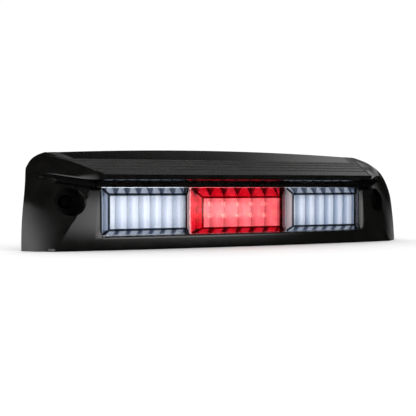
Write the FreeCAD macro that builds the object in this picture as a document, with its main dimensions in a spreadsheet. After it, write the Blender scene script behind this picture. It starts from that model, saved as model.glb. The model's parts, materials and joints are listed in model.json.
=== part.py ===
import FreeCAD, Part

# Third brake light for a pickup cab, in millimetres.
# X points right, Y towards the cab, Z up. The lamp shines towards -Y.
# The origin is midway between the two mounting holes, on the plane where the sleeves meet the cab.

import math
import os

import Sketcher

Vector = FreeCAD.Vector
Placement = FreeCAD.Placement
Rotation = FreeCAD.Rotation

os.makedirs("parts", exist_ok=True)
doc = FreeCAD.newDocument("third_brake_light")

# ---------------------------------------------------------------- driving dimensions
SIZES = {
    # housing: overall form
    "overall_width": 400.0,
    "wall": 2.5,
    "bow_radius": 1518.0,
    "face_front_y": -36.0,
    "bottom_z": -41.9,
    "face_top_z": 12.7,
    "brow_y": -32.0,
    "brow_top_z": 16.2,
    "lip_front_y": -50.0,
    "lip_bottom_z": 19.6,
    "lip_top_z": 24.1,
    "hood_slope": 0.29,
    "side_radius": 325.0,
    "crease_half_width": 177.0,
    "crease_lean": 0.6,
    "seat_lean": 0.065,
    "seat_arc_start_z": -1.3,
    "seat_arc_radius": 51.7,
    "seat_arc_end_z": 38.0,
    "seat_roof_slope": 0.888,
    "rib_count": 4,
    "rib_first_y": -35.0,
    "rib_pitch": 9.2,
    "rib_half_width": 1.2,
    "rib_depth": 0.9,
    # window
    "window_half_width": 136.0,
    "window_bottom_z": -29.8,
    "window_frame": 2.2,
    # mounting pockets
    "mount_half_spacing": 162.0,
    "pocket_radius": 11.75,
    "pocket_wall": 2.4,
    "pocket_floor": 6.0,
    "sleeve_outer_radius": 4.5,
    "sleeve_bore_radius": 3.1,
    "channel_radius": 4.4,
    "channel_inboard_x": 140.0,
    "channel_inboard_y": -43.0,
    "channel_inboard_z": 16.0,
    "channel_outboard_x": 180.0,
    "channel_outboard_y": -3.0,
    "channel_outboard_z": 22.4,
    # bosses that the tub's ears are screwed to
    "boss_radius": 4.0,
    "boss_hole_depth": 7.5,
    # gasket on the rear rim
    "gasket_width": 4.5,
    "gasket_depth": 4.0,
    "gasket_ledge": 2.0,
    # lens
    "flange_front_y": -26.0,
    "flange_thickness": 2.0,
    "flange_half_width": 141.0,
    "flange_bottom_z": -33.6,
    "flange_top_z": 16.2,
    "lens_wall": 2.0,
    "dome_base_bottom_z": -29.4,
    "dome_base_top_z": 12.3,
    "dome_front_bottom_z": -24.6,
    "stop_base_half": 49.8,
    "stop_front_half": 42.0,
    "stop_front_y": -34.4,
    "stop_front_top_z": 3.7,
    "cargo_base_inner": 51.8,
    "cargo_base_outer": 135.4,
    "cargo_front_inner": 56.3,
    "cargo_front_outer": 130.0,
    "cargo_front_y_inner": -31.3,
    "cargo_front_y_outer": -28.8,
    "cargo_front_top_z": 6.5,
    # fluted optics
    "optic_wall": 1.4,
    "stop_flutes": 6,
    "stop_flute_pitch": 14.6,
    "stop_optic_y": -25.6,
    "cargo_flutes": 7,
    "cargo_flute_pitch": 11.1,
    "cargo_optic_inner": 54.4,
    "cargo_optic_y": -23.2,
    "flute_depth": 2.4,
    "optic_bottom_z": -25.0,
    "optic_top_z": 4.5,
    "optic_end_rise": 6.0,
    # tub and reflectors
    "tub_half_width": 140.5,
    "tub_bottom_z": -33.2,
    "tub_top_z": 16.0,
    "tub_front_y": -23.4,
    "tub_floor_y": -6.0,
    "tub_back_y": -4.0,
    "tub_wall": 2.0,
    "divider_centre": 50.8,
    "divider_thickness": 1.6,
    "reflector_front_y": -18.6,
    "reflector_floor_y": -10.4,
    "reflector_back_y": -9.2,
    "reflector_wall": 1.2,
    "led_hole_radius": 2.9,
    # boards and what they carry
    "board_thickness": 1.6,
    "board_bottom_z": -28.0,
    "board_top_z": 11.0,
    "led_row_z": -8.6,
    "led_row_half_gap": 5.5,
    "led_width": 3.4,
    "led_height": 1.1,
    # driver bay
    "cover_half_width": 40.0,
    "cover_bottom_z": -20.0,
    "cover_top_z": 13.0,
    "cover_flange": 7.0,
    "cover_back_y": 9.0,
    "cover_wall": 2.0,
    "seal_thickness": 1.0,
    "driver_board_y": -2.2,
    # connector
    "inlet_centre_x": 15.0,
    "inlet_centre_z": -3.0,
    "inlet_width": 20.0,
    "inlet_height": 11.0,
    "inlet_back_y": 21.0,
    "inlet_wall": 1.5,
    "terminal_pitch": 4.0,
    # screws
    "screw_shank_radius": 1.4,
    "screw_head_radius": 2.9,
    "screw_head_height": 2.0,
    "screw_length": 9.0,
    "ear_radius": 5.0,
    "ear_thickness": 3.0,
    "ear_y": -13.0,
}

sheet = doc.addObject("Spreadsheet::Sheet", "dims")
for row, (alias, value) in enumerate(SIZES.items(), start=1):
    sheet.set(f"A{row}", alias)
    sheet.set(f"B{row}", str(value))
    sheet.setAlias(f"B{row}", alias)
doc.recompute()


def dim(alias):
    """One driving dimension, read from the sheet."""
    return float(sheet.get(alias))


SIDES = {"left": -1, "right": 1}
FAR = 120.0


# ---------------------------------------------------------------- helpers for bound primitives
def bind(obj, formulas):
    """Bind properties to formulas; words in them that are aliases are looked up in the sheet."""
    for prop, formula in formulas.items():
        words = []
        for word in formula.replace("(", " ( ").replace(")", " ) ").split():
            words.append(f"dims.{word}" if word in SIZES else word)
        obj.setExpression(prop, " ".join(words))


def box(name, x, y, z):
    """A box between low and high formulas on each axis."""
    obj = doc.addObject("Part::Box", name)
    bind(obj, {
        "Length": f"( {x[1]} ) - ( {x[0]} )",
        "Width": f"( {y[1]} ) - ( {y[0]} )",
        "Height": f"( {z[1]} ) - ( {z[0]} )",
        "Placement.Base.x": x[0],
        "Placement.Base.y": y[0],
        "Placement.Base.z": z[0],
    })
    return obj


def rod(name, radius, x, y, z):
    """A cylinder along Y between the two formulas in y."""
    obj = doc.addObject("Part::Cylinder", name)
    obj.Placement = Placement(Vector(), Rotation(Vector(1, 0, 0), -90))
    bind(obj, {
        "Radius": radius,
        "Height": f"( {y[1]} ) - ( {y[0]} )",
        "Placement.Base.x": x,
        "Placement.Base.y": y[0],
        "Placement.Base.z": z,
    })
    return obj


def fuse(name, pieces):
    """The union of several objects."""
    obj = doc.addObject("Part::MultiFuse", name)
    obj.Shapes = pieces
    obj.Refine = True
    return obj


def cut(name, base, tools):
    """The base less every tool."""
    tool = tools[0] if len(tools) == 1 else fuse(f"{name}_tools", tools)
    obj = doc.addObject("Part::Cut", name)
    obj.Base = base
    obj.Tool = tool
    return obj


def group(name, pieces):
    """Separate solids that share one node."""
    obj = doc.addObject("Part::Compound", name)
    obj.Links = pieces
    return obj


def formed(name, shape):
    """A free-form piece whose shape is worked out from the sheet."""
    obj = doc.addObject("Part::Feature", name)
    obj.Shape = shape
    obj.Placement = Placement()
    return obj


NODES = []


def keep(obj, label):
    """Name a finished sub-part; its label names its file."""
    obj.Label = label
    NODES.append(obj)
    return obj


def plate(name, low, width, height, thickness, holes=(), opening=None):
    """A PartDesign plate in the XZ plane, padded towards +Y from its lower front corner.

    holes are (x, z, radius) and opening is (x, z, width, height), from that corner.
    """
    body = doc.addObject("PartDesign::Body", name)
    sketch = body.newObject("Sketcher::SketchObject", f"{name}_outline")
    plane = next(o for o in body.Origin.OriginFeatures if o.Role == "XZ_Plane")
    sketch.AttachmentSupport = [(plane, "")]
    sketch.MapMode = "FlatFace"
    loops = [("0", "0", width, height)]
    if opening:
        loops.append(opening)
    formulas = {}
    for x, z, span, rise in loops:
        formulas.update(rectangle(sketch, x, z, span, rise))
    for x, z, radius in holes:
        formulas.update(circle(sketch, x, z, radius))
    doc.recompute()
    bind(sketch, formulas)
    pad = body.newObject("PartDesign::Pad", f"{name}_pad")
    pad.Profile = sketch
    pad.Reversed = True
    bind(pad, {"Length": thickness})
    bind(body, {f"Placement.Base.{axis}": formula for axis, formula in zip("xyz", low)})
    return body


def rectangle(sketch, x, z, width, height):
    """Add a dimensioned rectangle to a sketch and return its formulas."""
    first = len(sketch.Geometry)
    tag = f"loop{first}"
    corners = [(1, 1), (9, 1), (9, 9), (1, 9)]
    for index, (a, b) in enumerate(corners):
        c, d = corners[(index + 1) % 4]
        sketch.addGeometry(Part.LineSegment(Vector(a, b, 0), Vector(c, d, 0)), False)
    for index in range(4):
        following = first + (index + 1) % 4
        sketch.addConstraint(Sketcher.Constraint("Coincident", first + index, 2, following, 1))
    for index, kind in enumerate(["Horizontal", "Vertical", "Horizontal", "Vertical"]):
        sketch.addConstraint(Sketcher.Constraint(kind, first + index))
    sizes = {"wide": ("DistanceX", first, 1, first, 2, 8.0, width),
             "tall": ("DistanceY", first + 1, 1, first + 1, 2, 8.0, height)}
    formulas = {}
    for word, (kind, a, b, c, d, start, formula) in sizes.items():
        index = sketch.addConstraint(Sketcher.Constraint(kind, a, b, c, d, start))
        sketch.renameConstraint(index, f"{tag}_{word}")
        formulas[f"Constraints.{tag}_{word}"] = formula
    if (x, z) == ("0", "0"):
        sketch.addConstraint(Sketcher.Constraint("Coincident", first, 1, -1, 1))
        return formulas
    for word, kind, formula in (("right", "DistanceX", x), ("up", "DistanceY", z)):
        index = sketch.addConstraint(Sketcher.Constraint(kind, -1, 1, first, 1, 1.0))
        sketch.renameConstraint(index, f"{tag}_{word}")
        formulas[f"Constraints.{tag}_{word}"] = formula
    return formulas


def circle(sketch, x, z, radius):
    """Add a dimensioned circle to a sketch and return its formulas."""
    index = sketch.addGeometry(Part.Circle(Vector(5, 5, 0), Vector(0, 0, 1), 1.0), False)
    tag = f"hole{index}"
    wanted = (("radius", Sketcher.Constraint("Radius", index, 1.0), radius),
              ("right", Sketcher.Constraint("DistanceX", -1, 1, index, 3, 5.0), x),
              ("up", Sketcher.Constraint("DistanceY", -1, 1, index, 3, 5.0), z))
    formulas = {}
    for word, constraint, formula in wanted:
        number = sketch.addConstraint(constraint)
        sketch.renameConstraint(number, f"{tag}_{word}")
        formulas[f"Constraints.{tag}_{word}"] = formula
    return formulas


# ---------------------------------------------------------------- outer housing
def bow_y(x, y_at_centre):
    """Y at x of a bowed front surface that passes y_at_centre on the centre line."""
    radius = dim("bow_radius")
    return y_at_centre + radius - math.sqrt(radius ** 2 - x ** 2)


def seat_y(z):
    """Y of the cab surface under the rim: leaning panel, bend into the roof, then the roof's slope."""
    start, end, radius = dim("seat_arc_start_z"), dim("seat_arc_end_z"), dim("seat_arc_radius")
    if z <= start:
        return (z - start) * dim("seat_lean")
    if z > end:
        return seat_y(end) + (z - end) / dim("seat_roof_slope")
    tilt = math.atan(dim("seat_lean"))
    centre_y = radius * math.cos(tilt)
    centre_z = start - radius * math.sin(tilt)
    return centre_y - math.sqrt(radius ** 2 - (z - centre_z) ** 2)


def bowed_solid(profile):
    """Revolve a YZ profile about the bow's upright axis, wide enough for the whole lamp."""
    points = [Vector(0, y, z) for y, z in profile]
    face = Part.Face(Part.makePolygon(points + points[:1]))
    axis_at = Vector(0, dim("face_front_y") + dim("bow_radius"), 0)
    half_turn = 10.0
    face.rotate(axis_at, Vector(0, 0, 1), -half_turn)
    return face.revolve(axis_at, Vector(0, 0, 1), 2 * half_turn)


def mirrored_loft(sections, ruled):
    """Loft through sections given as right-hand half outlines, each mirrored about X = 0."""
    wires = []
    for half in sections:
        other = [Vector(-p.x, p.y, p.z) for p in reversed(half)]
        wires.append(Part.makePolygon(half + other + half[:1]))
    return Part.makeLoft(wires, True, ruled)


def rim_x(z):
    """Half width of the rim at height z."""
    rise = z - dim("bottom_z")
    return dim("overall_width") / 2 - rise ** 2 / (2 * dim("side_radius"))


def cheek_envelope(inset):
    """Everything inboard of the two cheeks, from the crease on the face back past the rim."""
    sections = []
    for z in (dim("bottom_z") - 5, -20.0, 0.0, dim("face_top_z"), 30.0):
        level = max(z, dim("bottom_z"))
        crease_x = dim("crease_half_width") - dim("crease_lean") * (level - dim("bottom_z"))
        crease = Vector(crease_x, bow_y(crease_x, dim("face_front_y")), z)
        rim = Vector(rim_x(level), seat_y(level), z)
        run = rim - crease
        slope = run.x / run.y
        shift = inset * math.hypot(1, slope)
        front = crease.x + slope * (-FAR / 2 - crease.y) - shift
        back = crease.x + slope * (FAR / 2 - crease.y) - shift
        sections.append([Vector(front, -FAR / 2, z), Vector(back, FAR / 2, z)])
    return mirrored_loft(sections, True)


def shoulder_envelope(inset):
    """Everything inboard of the hood's two sides: upright at the lip, a round shoulder at the rim."""
    # y, hood edge x, shoulder point, lowest point of the side
    stations = (
        (-60.0, (133.6, 22.0), (134.0, 19.0), (134.4, 10.0)),
        (-44.0, (139.2, 23.8), (139.6, 21.4), (140.0, 17.0)),
        (-24.0, (147.0, 29.0), (152.0, 25.6), (155.0, 20.0)),
        (1.0, (156.8, 35.9), (171.5, 32.4), (180.0, 25.4)),
        (11.0, (160.7, 38.6), (178.5, 35.6), (191.2, 26.5)),
        (20.0, (164.2, 41.1), (177.0, 39.6), (187.0, 33.8)),
        (30.5, (168.2, 44.0), (172.0, 43.2), (178.0, 39.8)),
    )
    sections = []
    for y, edge, shoulder, low in stations:
        half = [Vector(edge[0] - 4, y, 70), Vector(edge[0], y, edge[1])]
        half += [Vector(shoulder[0], y, shoulder[1]), Vector(low[0], y, low[1])]
        half.append(Vector(low[0] + 1.0, y, -10))
        for point in half:
            point.x -= 1.1 * inset
            point.z -= 1.1 * inset
        sections.append(half)
    return mirrored_loft(sections, True)


def hood_ribs():
    """Profile points of the shallow grooves across the front half of the hood."""
    points = []
    for number in range(int(dim("rib_count"))):
        middle = dim("rib_first_y") + number * dim("rib_pitch")
        for across, down in ((-1, 0), (0, dim("rib_depth")), (1, 0)):
            y = middle + across * dim("rib_half_width")
            points.append((y, dim("lip_top_z") + dim("hood_slope") * (y - dim("lip_front_y")) - down))
    return points


def housing_form(inset):
    """The housing's outer form, every surface moved inwards by inset, before the seat is cut."""
    bottom = dim("bottom_z") + inset
    face = dim("face_front_y") + inset
    body = bowed_solid([(face + 0.4, bottom), (face, dim("face_top_z")), (face, 25.0),
                        (FAR / 2, 25.0), (FAR / 2, bottom)])
    slope = dim("hood_slope")
    lift = inset * math.hypot(1, slope)
    top = dim("lip_top_z") - lift
    lip = dim("lip_front_y") + inset
    ribs = hood_ribs() if inset == 0 else []
    hood = bowed_solid([(lip, dim("lip_bottom_z") + inset), (lip, top + slope * inset)] + ribs + [
                        (FAR / 2, top + slope * (FAR / 2 - dim("lip_front_y"))), (FAR / 2, 0.0),
                        (dim("brow_y") + inset, 0.0), (dim("brow_y") + inset, dim("brow_top_z") + inset)])
    front = body.common(cheek_envelope(inset))
    roof = hood.common(shoulder_envelope(inset))
    return front.fuse(roof).removeSplitter()


def seat_line(offset):
    """The cab surface's outline in the YZ plane, moved by offset along Y: line, arc, line."""
    start, end = dim("seat_arc_start_z"), dim("seat_arc_end_z")
    low, high, middle = dim("bottom_z") - 10, 100.0, (start + end) / 2
    at = {z: Vector(-FAR * 4, seat_y(z) + offset, z) for z in (low, start, middle, end, high)}
    return [Part.LineSegment(at[low], at[start]), Part.Arc(at[start], at[middle], at[end]),
            Part.LineSegment(at[end], at[high])]


def seat_slab(near, far):
    """The space between the cab surface moved by near and by far along Y."""
    lines = seat_line(near) + seat_line(far)
    for end in ("StartPoint", "EndPoint"):
        lines.append(Part.LineSegment(*(getattr(seat_line(offset)[0 if end == "StartPoint" else 2], end)
                                        for offset in (near, far))))
    outline = Part.Wire(Part.__sortEdges__([line.toShape() for line in lines]))
    return Part.Face(outline).extrude(Vector(FAR * 8, 0, 0))


def along_y(radius, x, z, y_low, y_high):
    """A plain cylinder along Y."""
    return Part.makeCylinder(radius, y_high - y_low, Vector(x, y_low, z), Vector(0, 1, 0))


def block(x, y, z):
    """A plain box between two limits on each axis."""
    return Part.makeBox(x[1] - x[0], y[1] - y[0], z[1] - z[0], Vector(x[0], y[0], z[0]))


UPPER_EARS = ((-120.0, 21.5), (-45.0, 21.5), (45.0, 21.5), (120.0, 21.5))
LOWER_EARS = ((-146.0, -25.0), (146.0, -25.0))
EARS = UPPER_EARS + LOWER_EARS


def outer_housing():
    """Hooded shell with window, window frame, screw pockets, bosses, gasket ledge and ribs."""
    outer = housing_form(0.0)
    behind_seat = seat_slab(0.0, 2 * FAR)
    hollow = housing_form(dim("wall"))
    shell = outer.cut(hollow)
    # the window frame runs from the face back to the lens flange
    wide, low, high = dim("window_half_width"), dim("window_bottom_z"), dim("face_top_z")
    frame = dim("window_frame")
    frame_back = dim("flange_front_y")
    surround = block((-wide - frame, wide + frame), (-FAR / 2, frame_back), (low - frame, high + frame))
    ledge = hollow.cut(housing_form(dim("wall") + dim("gasket_width")))
    ledge = ledge.common(seat_slab(-dim("gasket_depth") - dim("gasket_ledge"), -dim("gasket_depth")))
    shell = shell.multiFuse([surround.common(outer), ledge]).cut(behind_seat)
    additions = []
    cuts = [block((-wide, wide), (-FAR / 2, frame_back), (low, high))]
    for side in SIDES.values():
        x = side * dim("mount_half_spacing")
        additions.append(along_y(dim("pocket_radius") + dim("pocket_wall"), x, 0, -FAR / 2, 0).common(outer))
        cuts.append(along_y(dim("pocket_radius"), x, 0, -FAR / 2, -dim("pocket_floor")))
        cuts.append(along_y(dim("sleeve_outer_radius"), x, 0, -FAR / 2, FAR / 2))
        cuts.append(side_channel(side))
    for x, z in EARS:
        post = along_y(dim("boss_radius"), x, z, -FAR / 2, dim("ear_y")).common(outer)
        additions.append(post)
        hole_start = dim("ear_y") - dim("boss_hole_depth")
        cuts.append(along_y(dim("screw_shank_radius"), x, z, hole_start, FAR / 2).common(hollow))
    shape = shell.multiFuse(additions)
    for tool in cuts:
        shape = shape.cut(tool)
    solid = max(shape.removeSplitter().Solids, key=lambda s: s.Volume)
    keep(formed("outer_housing", solid), "outer_housing")
    return hollow


def side_channel(side):
    """Round-ended groove that runs outboard from a screw pocket, below the hood's side."""
    inboard, outboard = (Vector(side * dim(f"channel_{end}_x"), dim(f"channel_{end}_y"),
                                dim(f"channel_{end}_z")) for end in ("inboard", "outboard"))
    run = outboard - inboard
    radius = dim("channel_radius")
    tube = Part.makeCylinder(radius, run.Length, inboard, run)
    return tube.fuse(Part.makeSphere(radius, outboard))


def foam_gasket(hollow):
    """Foam strip that fills the rim between the gasket ledge and the cab."""
    inner = housing_form(dim("wall") + dim("gasket_width"))
    ring = hollow.cut(inner).common(seat_slab(-dim("gasket_depth"), 0.0))
    solid = max(ring.Solids, key=lambda s: s.Volume)
    keep(formed("foam_gasket", solid), "foam_gasket")


def mounting_sleeves():
    """Metal sleeves that take the clamping load of the two mounting screws."""
    sleeves = []
    for side_name, side in SIDES.items():
        x = f"{side} * mount_half_spacing"
        span = ("- pocket_floor", "0")
        solid = rod(f"sleeve_{side_name}_solid", "sleeve_outer_radius", x, span, "0")
        bore = rod(f"sleeve_{side_name}_bore", "sleeve_bore_radius", x, span, "0")
        sleeves.append(cut(f"sleeve_{side_name}", solid, [bore]))
    keep(group("sleeves", sleeves), "mounting_sleeves")


# ---------------------------------------------------------------- lens
def dome(base, front):
    """A four-sided dome between a base rectangle (y, x, z limits) and a front one.

    The front's y is a pair, at its low x and at its high x.
    """
    (base_y, base_x, base_z), (front_y, front_x, front_z) = base, front
    back = [Vector(base_x[i], base_y, base_z[j]) for i, j in ((0, 0), (1, 0), (1, 1), (0, 1))]
    face = [Vector(front_x[i], front_y[i], front_z[j]) for i, j in ((0, 0), (1, 0), (1, 1), (0, 1))]
    loops = [Part.makePolygon(points + points[:1]) for points in (back, face)]
    return Part.makeLoft(loops, True, True)


def narrowed(limits, by):
    """A pair of limits, each moved inwards."""
    return limits[0] + by, limits[1] - by


def dome_shell(base_x, front_x, front_y, front_top):
    """Outer form and hollow of one dome."""
    base_y = dim("flange_front_y")
    base_z = (dim("dome_base_bottom_z"), dim("dome_base_top_z"))
    front_z = (dim("dome_front_bottom_z"), front_top)
    wall = dim("lens_wall")
    outer = dome((base_y, base_x, base_z), (front_y, front_x, front_z))
    base, front = 0.7 * wall, 0.5 * wall
    inner = dome((base_y + wall + 0.1, narrowed(base_x, base), narrowed(base_z, base)),
                 (tuple(y + wall for y in front_y), narrowed(front_x, front), narrowed(front_z, front)))
    return outer, inner


def lens_pieces():
    """Clear lens with two cargo domes, and the red stop dome welded into its middle."""
    front, back = dim("flange_front_y"), dim("flange_front_y") + dim("flange_thickness")
    half = dim("flange_half_width")
    levels = (dim("flange_bottom_z"), dim("flange_top_z"))
    middle = dim("stop_base_half") + 1.0
    stop_plate = block((-middle, middle), (front, back), levels)
    flange = block((-half, half), (front, back), levels).cut(stop_plate)
    clear, hollows = [flange], []
    for side in SIDES.values():
        spans = [tuple(sorted((side * dim(f"cargo_{part}_inner"), side * dim(f"cargo_{part}_outer"))))
                 for part in ("base", "front")]
        depths = (dim("cargo_front_y_inner"), dim("cargo_front_y_outer"))
        outer, inner = dome_shell(spans[0], spans[1], depths[::side], dim("cargo_front_top_z"))
        clear.append(outer)
        hollows.append(inner)
    lens = clear[0].multiFuse(clear[1:])
    for tool in hollows:
        lens = lens.cut(tool)
    # the flange is in two halves, left and right of the red dome; a bridge strip joins them
    bridge = block((-middle, middle), (front, back), (dim("flange_bottom_z"), dim("flange_bottom_z") + 2.2))
    top_bridge = block((-middle, middle), (front, back), (dim("flange_top_z") - 2.2, dim("flange_top_z")))
    lens = lens.multiFuse([bridge, top_bridge]).removeSplitter()
    keep(formed("clear_lens", lens), "outer_lens")

    span = (-dim("stop_base_half"), dim("stop_base_half"))
    face = (-dim("stop_front_half"), dim("stop_front_half"))
    outer, inner = dome_shell(span, face, (dim("stop_front_y"),) * 2, dim("stop_front_top_z"))
    red = outer.fuse(stop_plate).cut(inner).cut(bridge).cut(top_bridge).removeSplitter()
    keep(formed("red_lens", red), "stop_lens")


# ---------------------------------------------------------------- fluted optics and reflectors
def fluted_optic(label, first_x, count, pitch, front_y):
    """Clear sheet with upright flutes; its top and bottom ends slope back like the dome's bevels."""
    depth = dim("flute_depth")
    low, high, rise = dim("optic_bottom_z"), dim("optic_top_z"), dim("optic_end_rise")
    edges = []
    for number in range(count):
        x = first_x + number * pitch
        edges.append(Part.Arc(Vector(x, front_y + depth, low), Vector(x + pitch / 2, front_y, low),
                              Vector(x + pitch, front_y + depth, low)).toShape())
    end_x = first_x + count * pitch
    back_y = front_y + depth + dim("optic_wall")
    for start, stop in (((end_x, front_y + depth), (end_x, back_y)), ((end_x, back_y), (first_x, back_y)),
                        ((first_x, back_y), (first_x, front_y + depth))):
        edges.append(Part.LineSegment(Vector(*start, low), Vector(*stop, low)).toShape())
    section = Part.Face(Part.Wire(Part.__sortEdges__(edges)))
    lower = section.extrude(Vector(0, 0.6 * rise, -0.5 * rise))
    middle = section.extrude(Vector(0, 0, high - low))
    section.translate(Vector(0, 0, high - low))
    upper = section.extrude(Vector(0, rise, rise))
    keep(formed(f"{label}_form", middle.multiFuse([lower, upper]).removeSplitter()), label)


def optics():
    """The stop optic and the two cargo optics."""
    stop_count, stop_pitch = int(dim("stop_flutes")), dim("stop_flute_pitch")
    fluted_optic("stop_optic", -stop_count * stop_pitch / 2, stop_count, stop_pitch, dim("stop_optic_y"))
    cargo_count, cargo_pitch = int(dim("cargo_flutes")), dim("cargo_flute_pitch")
    inner = dim("cargo_optic_inner")
    for side_name, side in SIDES.items():
        first = inner if side > 0 else -inner - cargo_count * cargo_pitch
        fluted_optic(f"cargo_optic_{side_name}", first, cargo_count, cargo_pitch, dim("cargo_optic_y"))


def led_places(bay):
    """Formulas for the x and z of every lamp in a bay."""
    if bay == "stop":
        count, pitch = int(dim("stop_flutes")), "stop_flute_pitch"
        columns = [f"( {number} + 0.5 - {count} / 2 ) * {pitch}" for number in range(count)]
        rows = ["led_row_z - led_row_half_gap", "led_row_z + led_row_half_gap"]
    else:
        side = SIDES[bay.split("_")[1]]
        columns = [f"{side} * ( cargo_optic_inner + ( {number} + 0.5 ) * cargo_flute_pitch )"
                   for number in range(int(dim("cargo_flutes")))]
        rows = ["led_row_z"]
    return [(x, z) for x in columns for z in rows]


def bay_limits(bay):
    """Low and high x formulas of a bay between its dividers or the tub's ends."""
    inner = "( divider_centre + divider_thickness / 2 + 0.4 )"
    if bay == "stop":
        return ("- divider_centre + divider_thickness / 2 + 0.4",
                "divider_centre - divider_thickness / 2 - 0.4")
    outer = "( tub_half_width - tub_wall - 0.4 )"
    return (inner, outer) if bay == "cargo_right" else (f"- {outer}", f"- {inner}")


BAYS = ("stop", "cargo_left", "cargo_right")


def reflector(bay):
    """Metallised tray with a hole for every lamp."""
    low_x, high_x = bay_limits(bay)
    bottom, top = "tub_bottom_z + tub_wall + 0.4", "tub_top_z - tub_wall - 0.4"
    label = "stop_reflector" if bay == "stop" else bay.replace("cargo", "cargo_reflector")
    tray = box(f"{bay}_tray", (low_x, high_x), ("reflector_front_y", "reflector_back_y"), (bottom, top))
    hollow = box(f"{bay}_tray_hollow", (f"{low_x} + reflector_wall", f"{high_x} - reflector_wall"),
                 ("reflector_front_y", "reflector_floor_y"),
                 (f"{bottom} + reflector_wall", f"{top} - reflector_wall"))
    holes = [rod(f"{bay}_lamp_hole_{number}", "led_hole_radius", x,
                 ("reflector_floor_y - 1", "reflector_back_y + 1"), z)
             for number, (x, z) in enumerate(led_places(bay))]
    keep(cut(f"{bay}_reflector_cut", tray, [hollow] + holes), label)


# ---------------------------------------------------------------- tub and boards
DRIVER_POSTS = ((-30.0, -14.0), (30.0, -14.0), (-30.0, 7.0), (30.0, 7.0))
COVER_SCREWS = ((-43.4, -3.5), (43.4, -3.5))
BOARD_SCREW_Z = (-24.5, 7.4)


def lamp_body():
    """Tub with two dividers, ears for the housing screws and posts for the driver board."""
    outer = box("tub_block", ("- tub_half_width", "tub_half_width"), ("tub_front_y", "tub_back_y"),
                ("tub_bottom_z", "tub_top_z"))
    hollow = box("tub_hollow", ("- tub_half_width + tub_wall", "tub_half_width - tub_wall"),
                 ("tub_front_y", "tub_floor_y"), ("tub_bottom_z + tub_wall", "tub_top_z - tub_wall"))
    tub = cut("tub", outer, [hollow])
    additions, holes = [tub], []
    for side_name, side in SIDES.items():
        wall = box(f"divider_{side_name}", (f"{side} * divider_centre - divider_thickness / 2",
                                            f"{side} * divider_centre + divider_thickness / 2"),
                   ("tub_front_y", "tub_floor_y"), ("tub_bottom_z + 1", "tub_top_z - 1"))
        notch = box(f"divider_notch_{side_name}",
                    (f"{side} * divider_centre - 3", f"{side} * divider_centre + 3"),
                    ("tub_floor_y - 3", "tub_floor_y"), ("led_row_z - 4", "led_row_z + 4"))
        additions.append(cut(f"divider_wall_{side_name}", wall, [notch]))
    for number, (x, z) in enumerate(EARS):
        ear = ("ear_y", "ear_y + ear_thickness")
        root = math.copysign(dim("tub_half_width") - 1, x) if z < 0 else x
        additions.append(rod(f"ear_{number}", "ear_radius", str(x), ear, str(z)))
        spread = (min(x, root), max(x, root)) if z < 0 else (x - dim("ear_radius"), x + dim("ear_radius"))
        rise = ("tub_top_z - 1", str(z)) if z > 0 else (f"{z} - ear_radius", f"{z} + ear_radius")
        additions.append(box(f"ear_root_{number}", tuple(map(str, spread)), ear, rise))
        holes.append(rod(f"ear_hole_{number}", "screw_shank_radius + 0.3", str(x),
                         ("ear_y - 1", "ear_y + 4"), str(z)))
    for number, (x, z) in enumerate(DRIVER_POSTS):
        additions.append(rod(f"driver_post_{number}", "3", str(x),
                             ("tub_floor_y", "driver_board_y"), str(z)))
        holes.append(rod(f"driver_post_hole_{number}", "0.8", str(x),
                         ("tub_floor_y + 0.8", "driver_board_y"), str(z)))
    for number, (x, z) in enumerate(COVER_SCREWS):
        holes.append(rod(f"cover_screw_hole_{number}", "screw_shank_radius - 0.3", str(x),
                         ("tub_back_y - 5", "tub_back_y"), str(z)))
        additions.append(rod(f"cover_post_{number}", "3", str(x),
                             ("tub_back_y - 6", "tub_back_y"), str(z)))
    passage = box("pin_passage", ("-9", "9"), ("tub_floor_y", "tub_back_y"),
                  ("led_row_z - 3", "led_row_z + 3"))
    keep(cut("tub_finished", fuse("tub_raw", additions), holes + [passage]), "lamp_body")


def lens_seal():
    """Sealing bead between the lens flange and the tub's front edge."""
    keep(plate("seal_ring", ("- tub_half_width", "flange_front_y + flange_thickness", "tub_bottom_z"),
               "2 * tub_half_width", "tub_top_z - tub_bottom_z",
               "tub_front_y - flange_front_y - flange_thickness",
               opening=("tub_wall", "tub_wall", "2 * tub_half_width - 2 * tub_wall",
                        "tub_top_z - tub_bottom_z - 2 * tub_wall")), "lens_seal")


def lamp_board(bay):
    """Printed board of one bay, with two screw holes."""
    low_x, high_x = bay_limits(bay)
    width = f"( {high_x} ) - ( {low_x} )"
    holes = [(f"( {width} ) / 2 + {across} * stop_flute_pitch / 2", f"{z} - board_bottom_z", "1.5")
             for across, z in board_screw_offsets(bay)]
    label = f"{bay.replace('cargo', 'cargo_led_board')}" if bay != "stop" else "stop_led_board"
    keep(plate(f"{bay}_board", (low_x, "tub_floor_y - board_thickness", "board_bottom_z"), width,
               "board_top_z - board_bottom_z", "board_thickness", holes=holes), label)


def board_screw_offsets(bay):
    """Screw places on a lamp board: half flutes from its middle, and z."""
    return [(-2, BOARD_SCREW_Z[0]), (2, BOARD_SCREW_Z[0]), (-2, BOARD_SCREW_Z[1]), (2, BOARD_SCREW_Z[1])]


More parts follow.
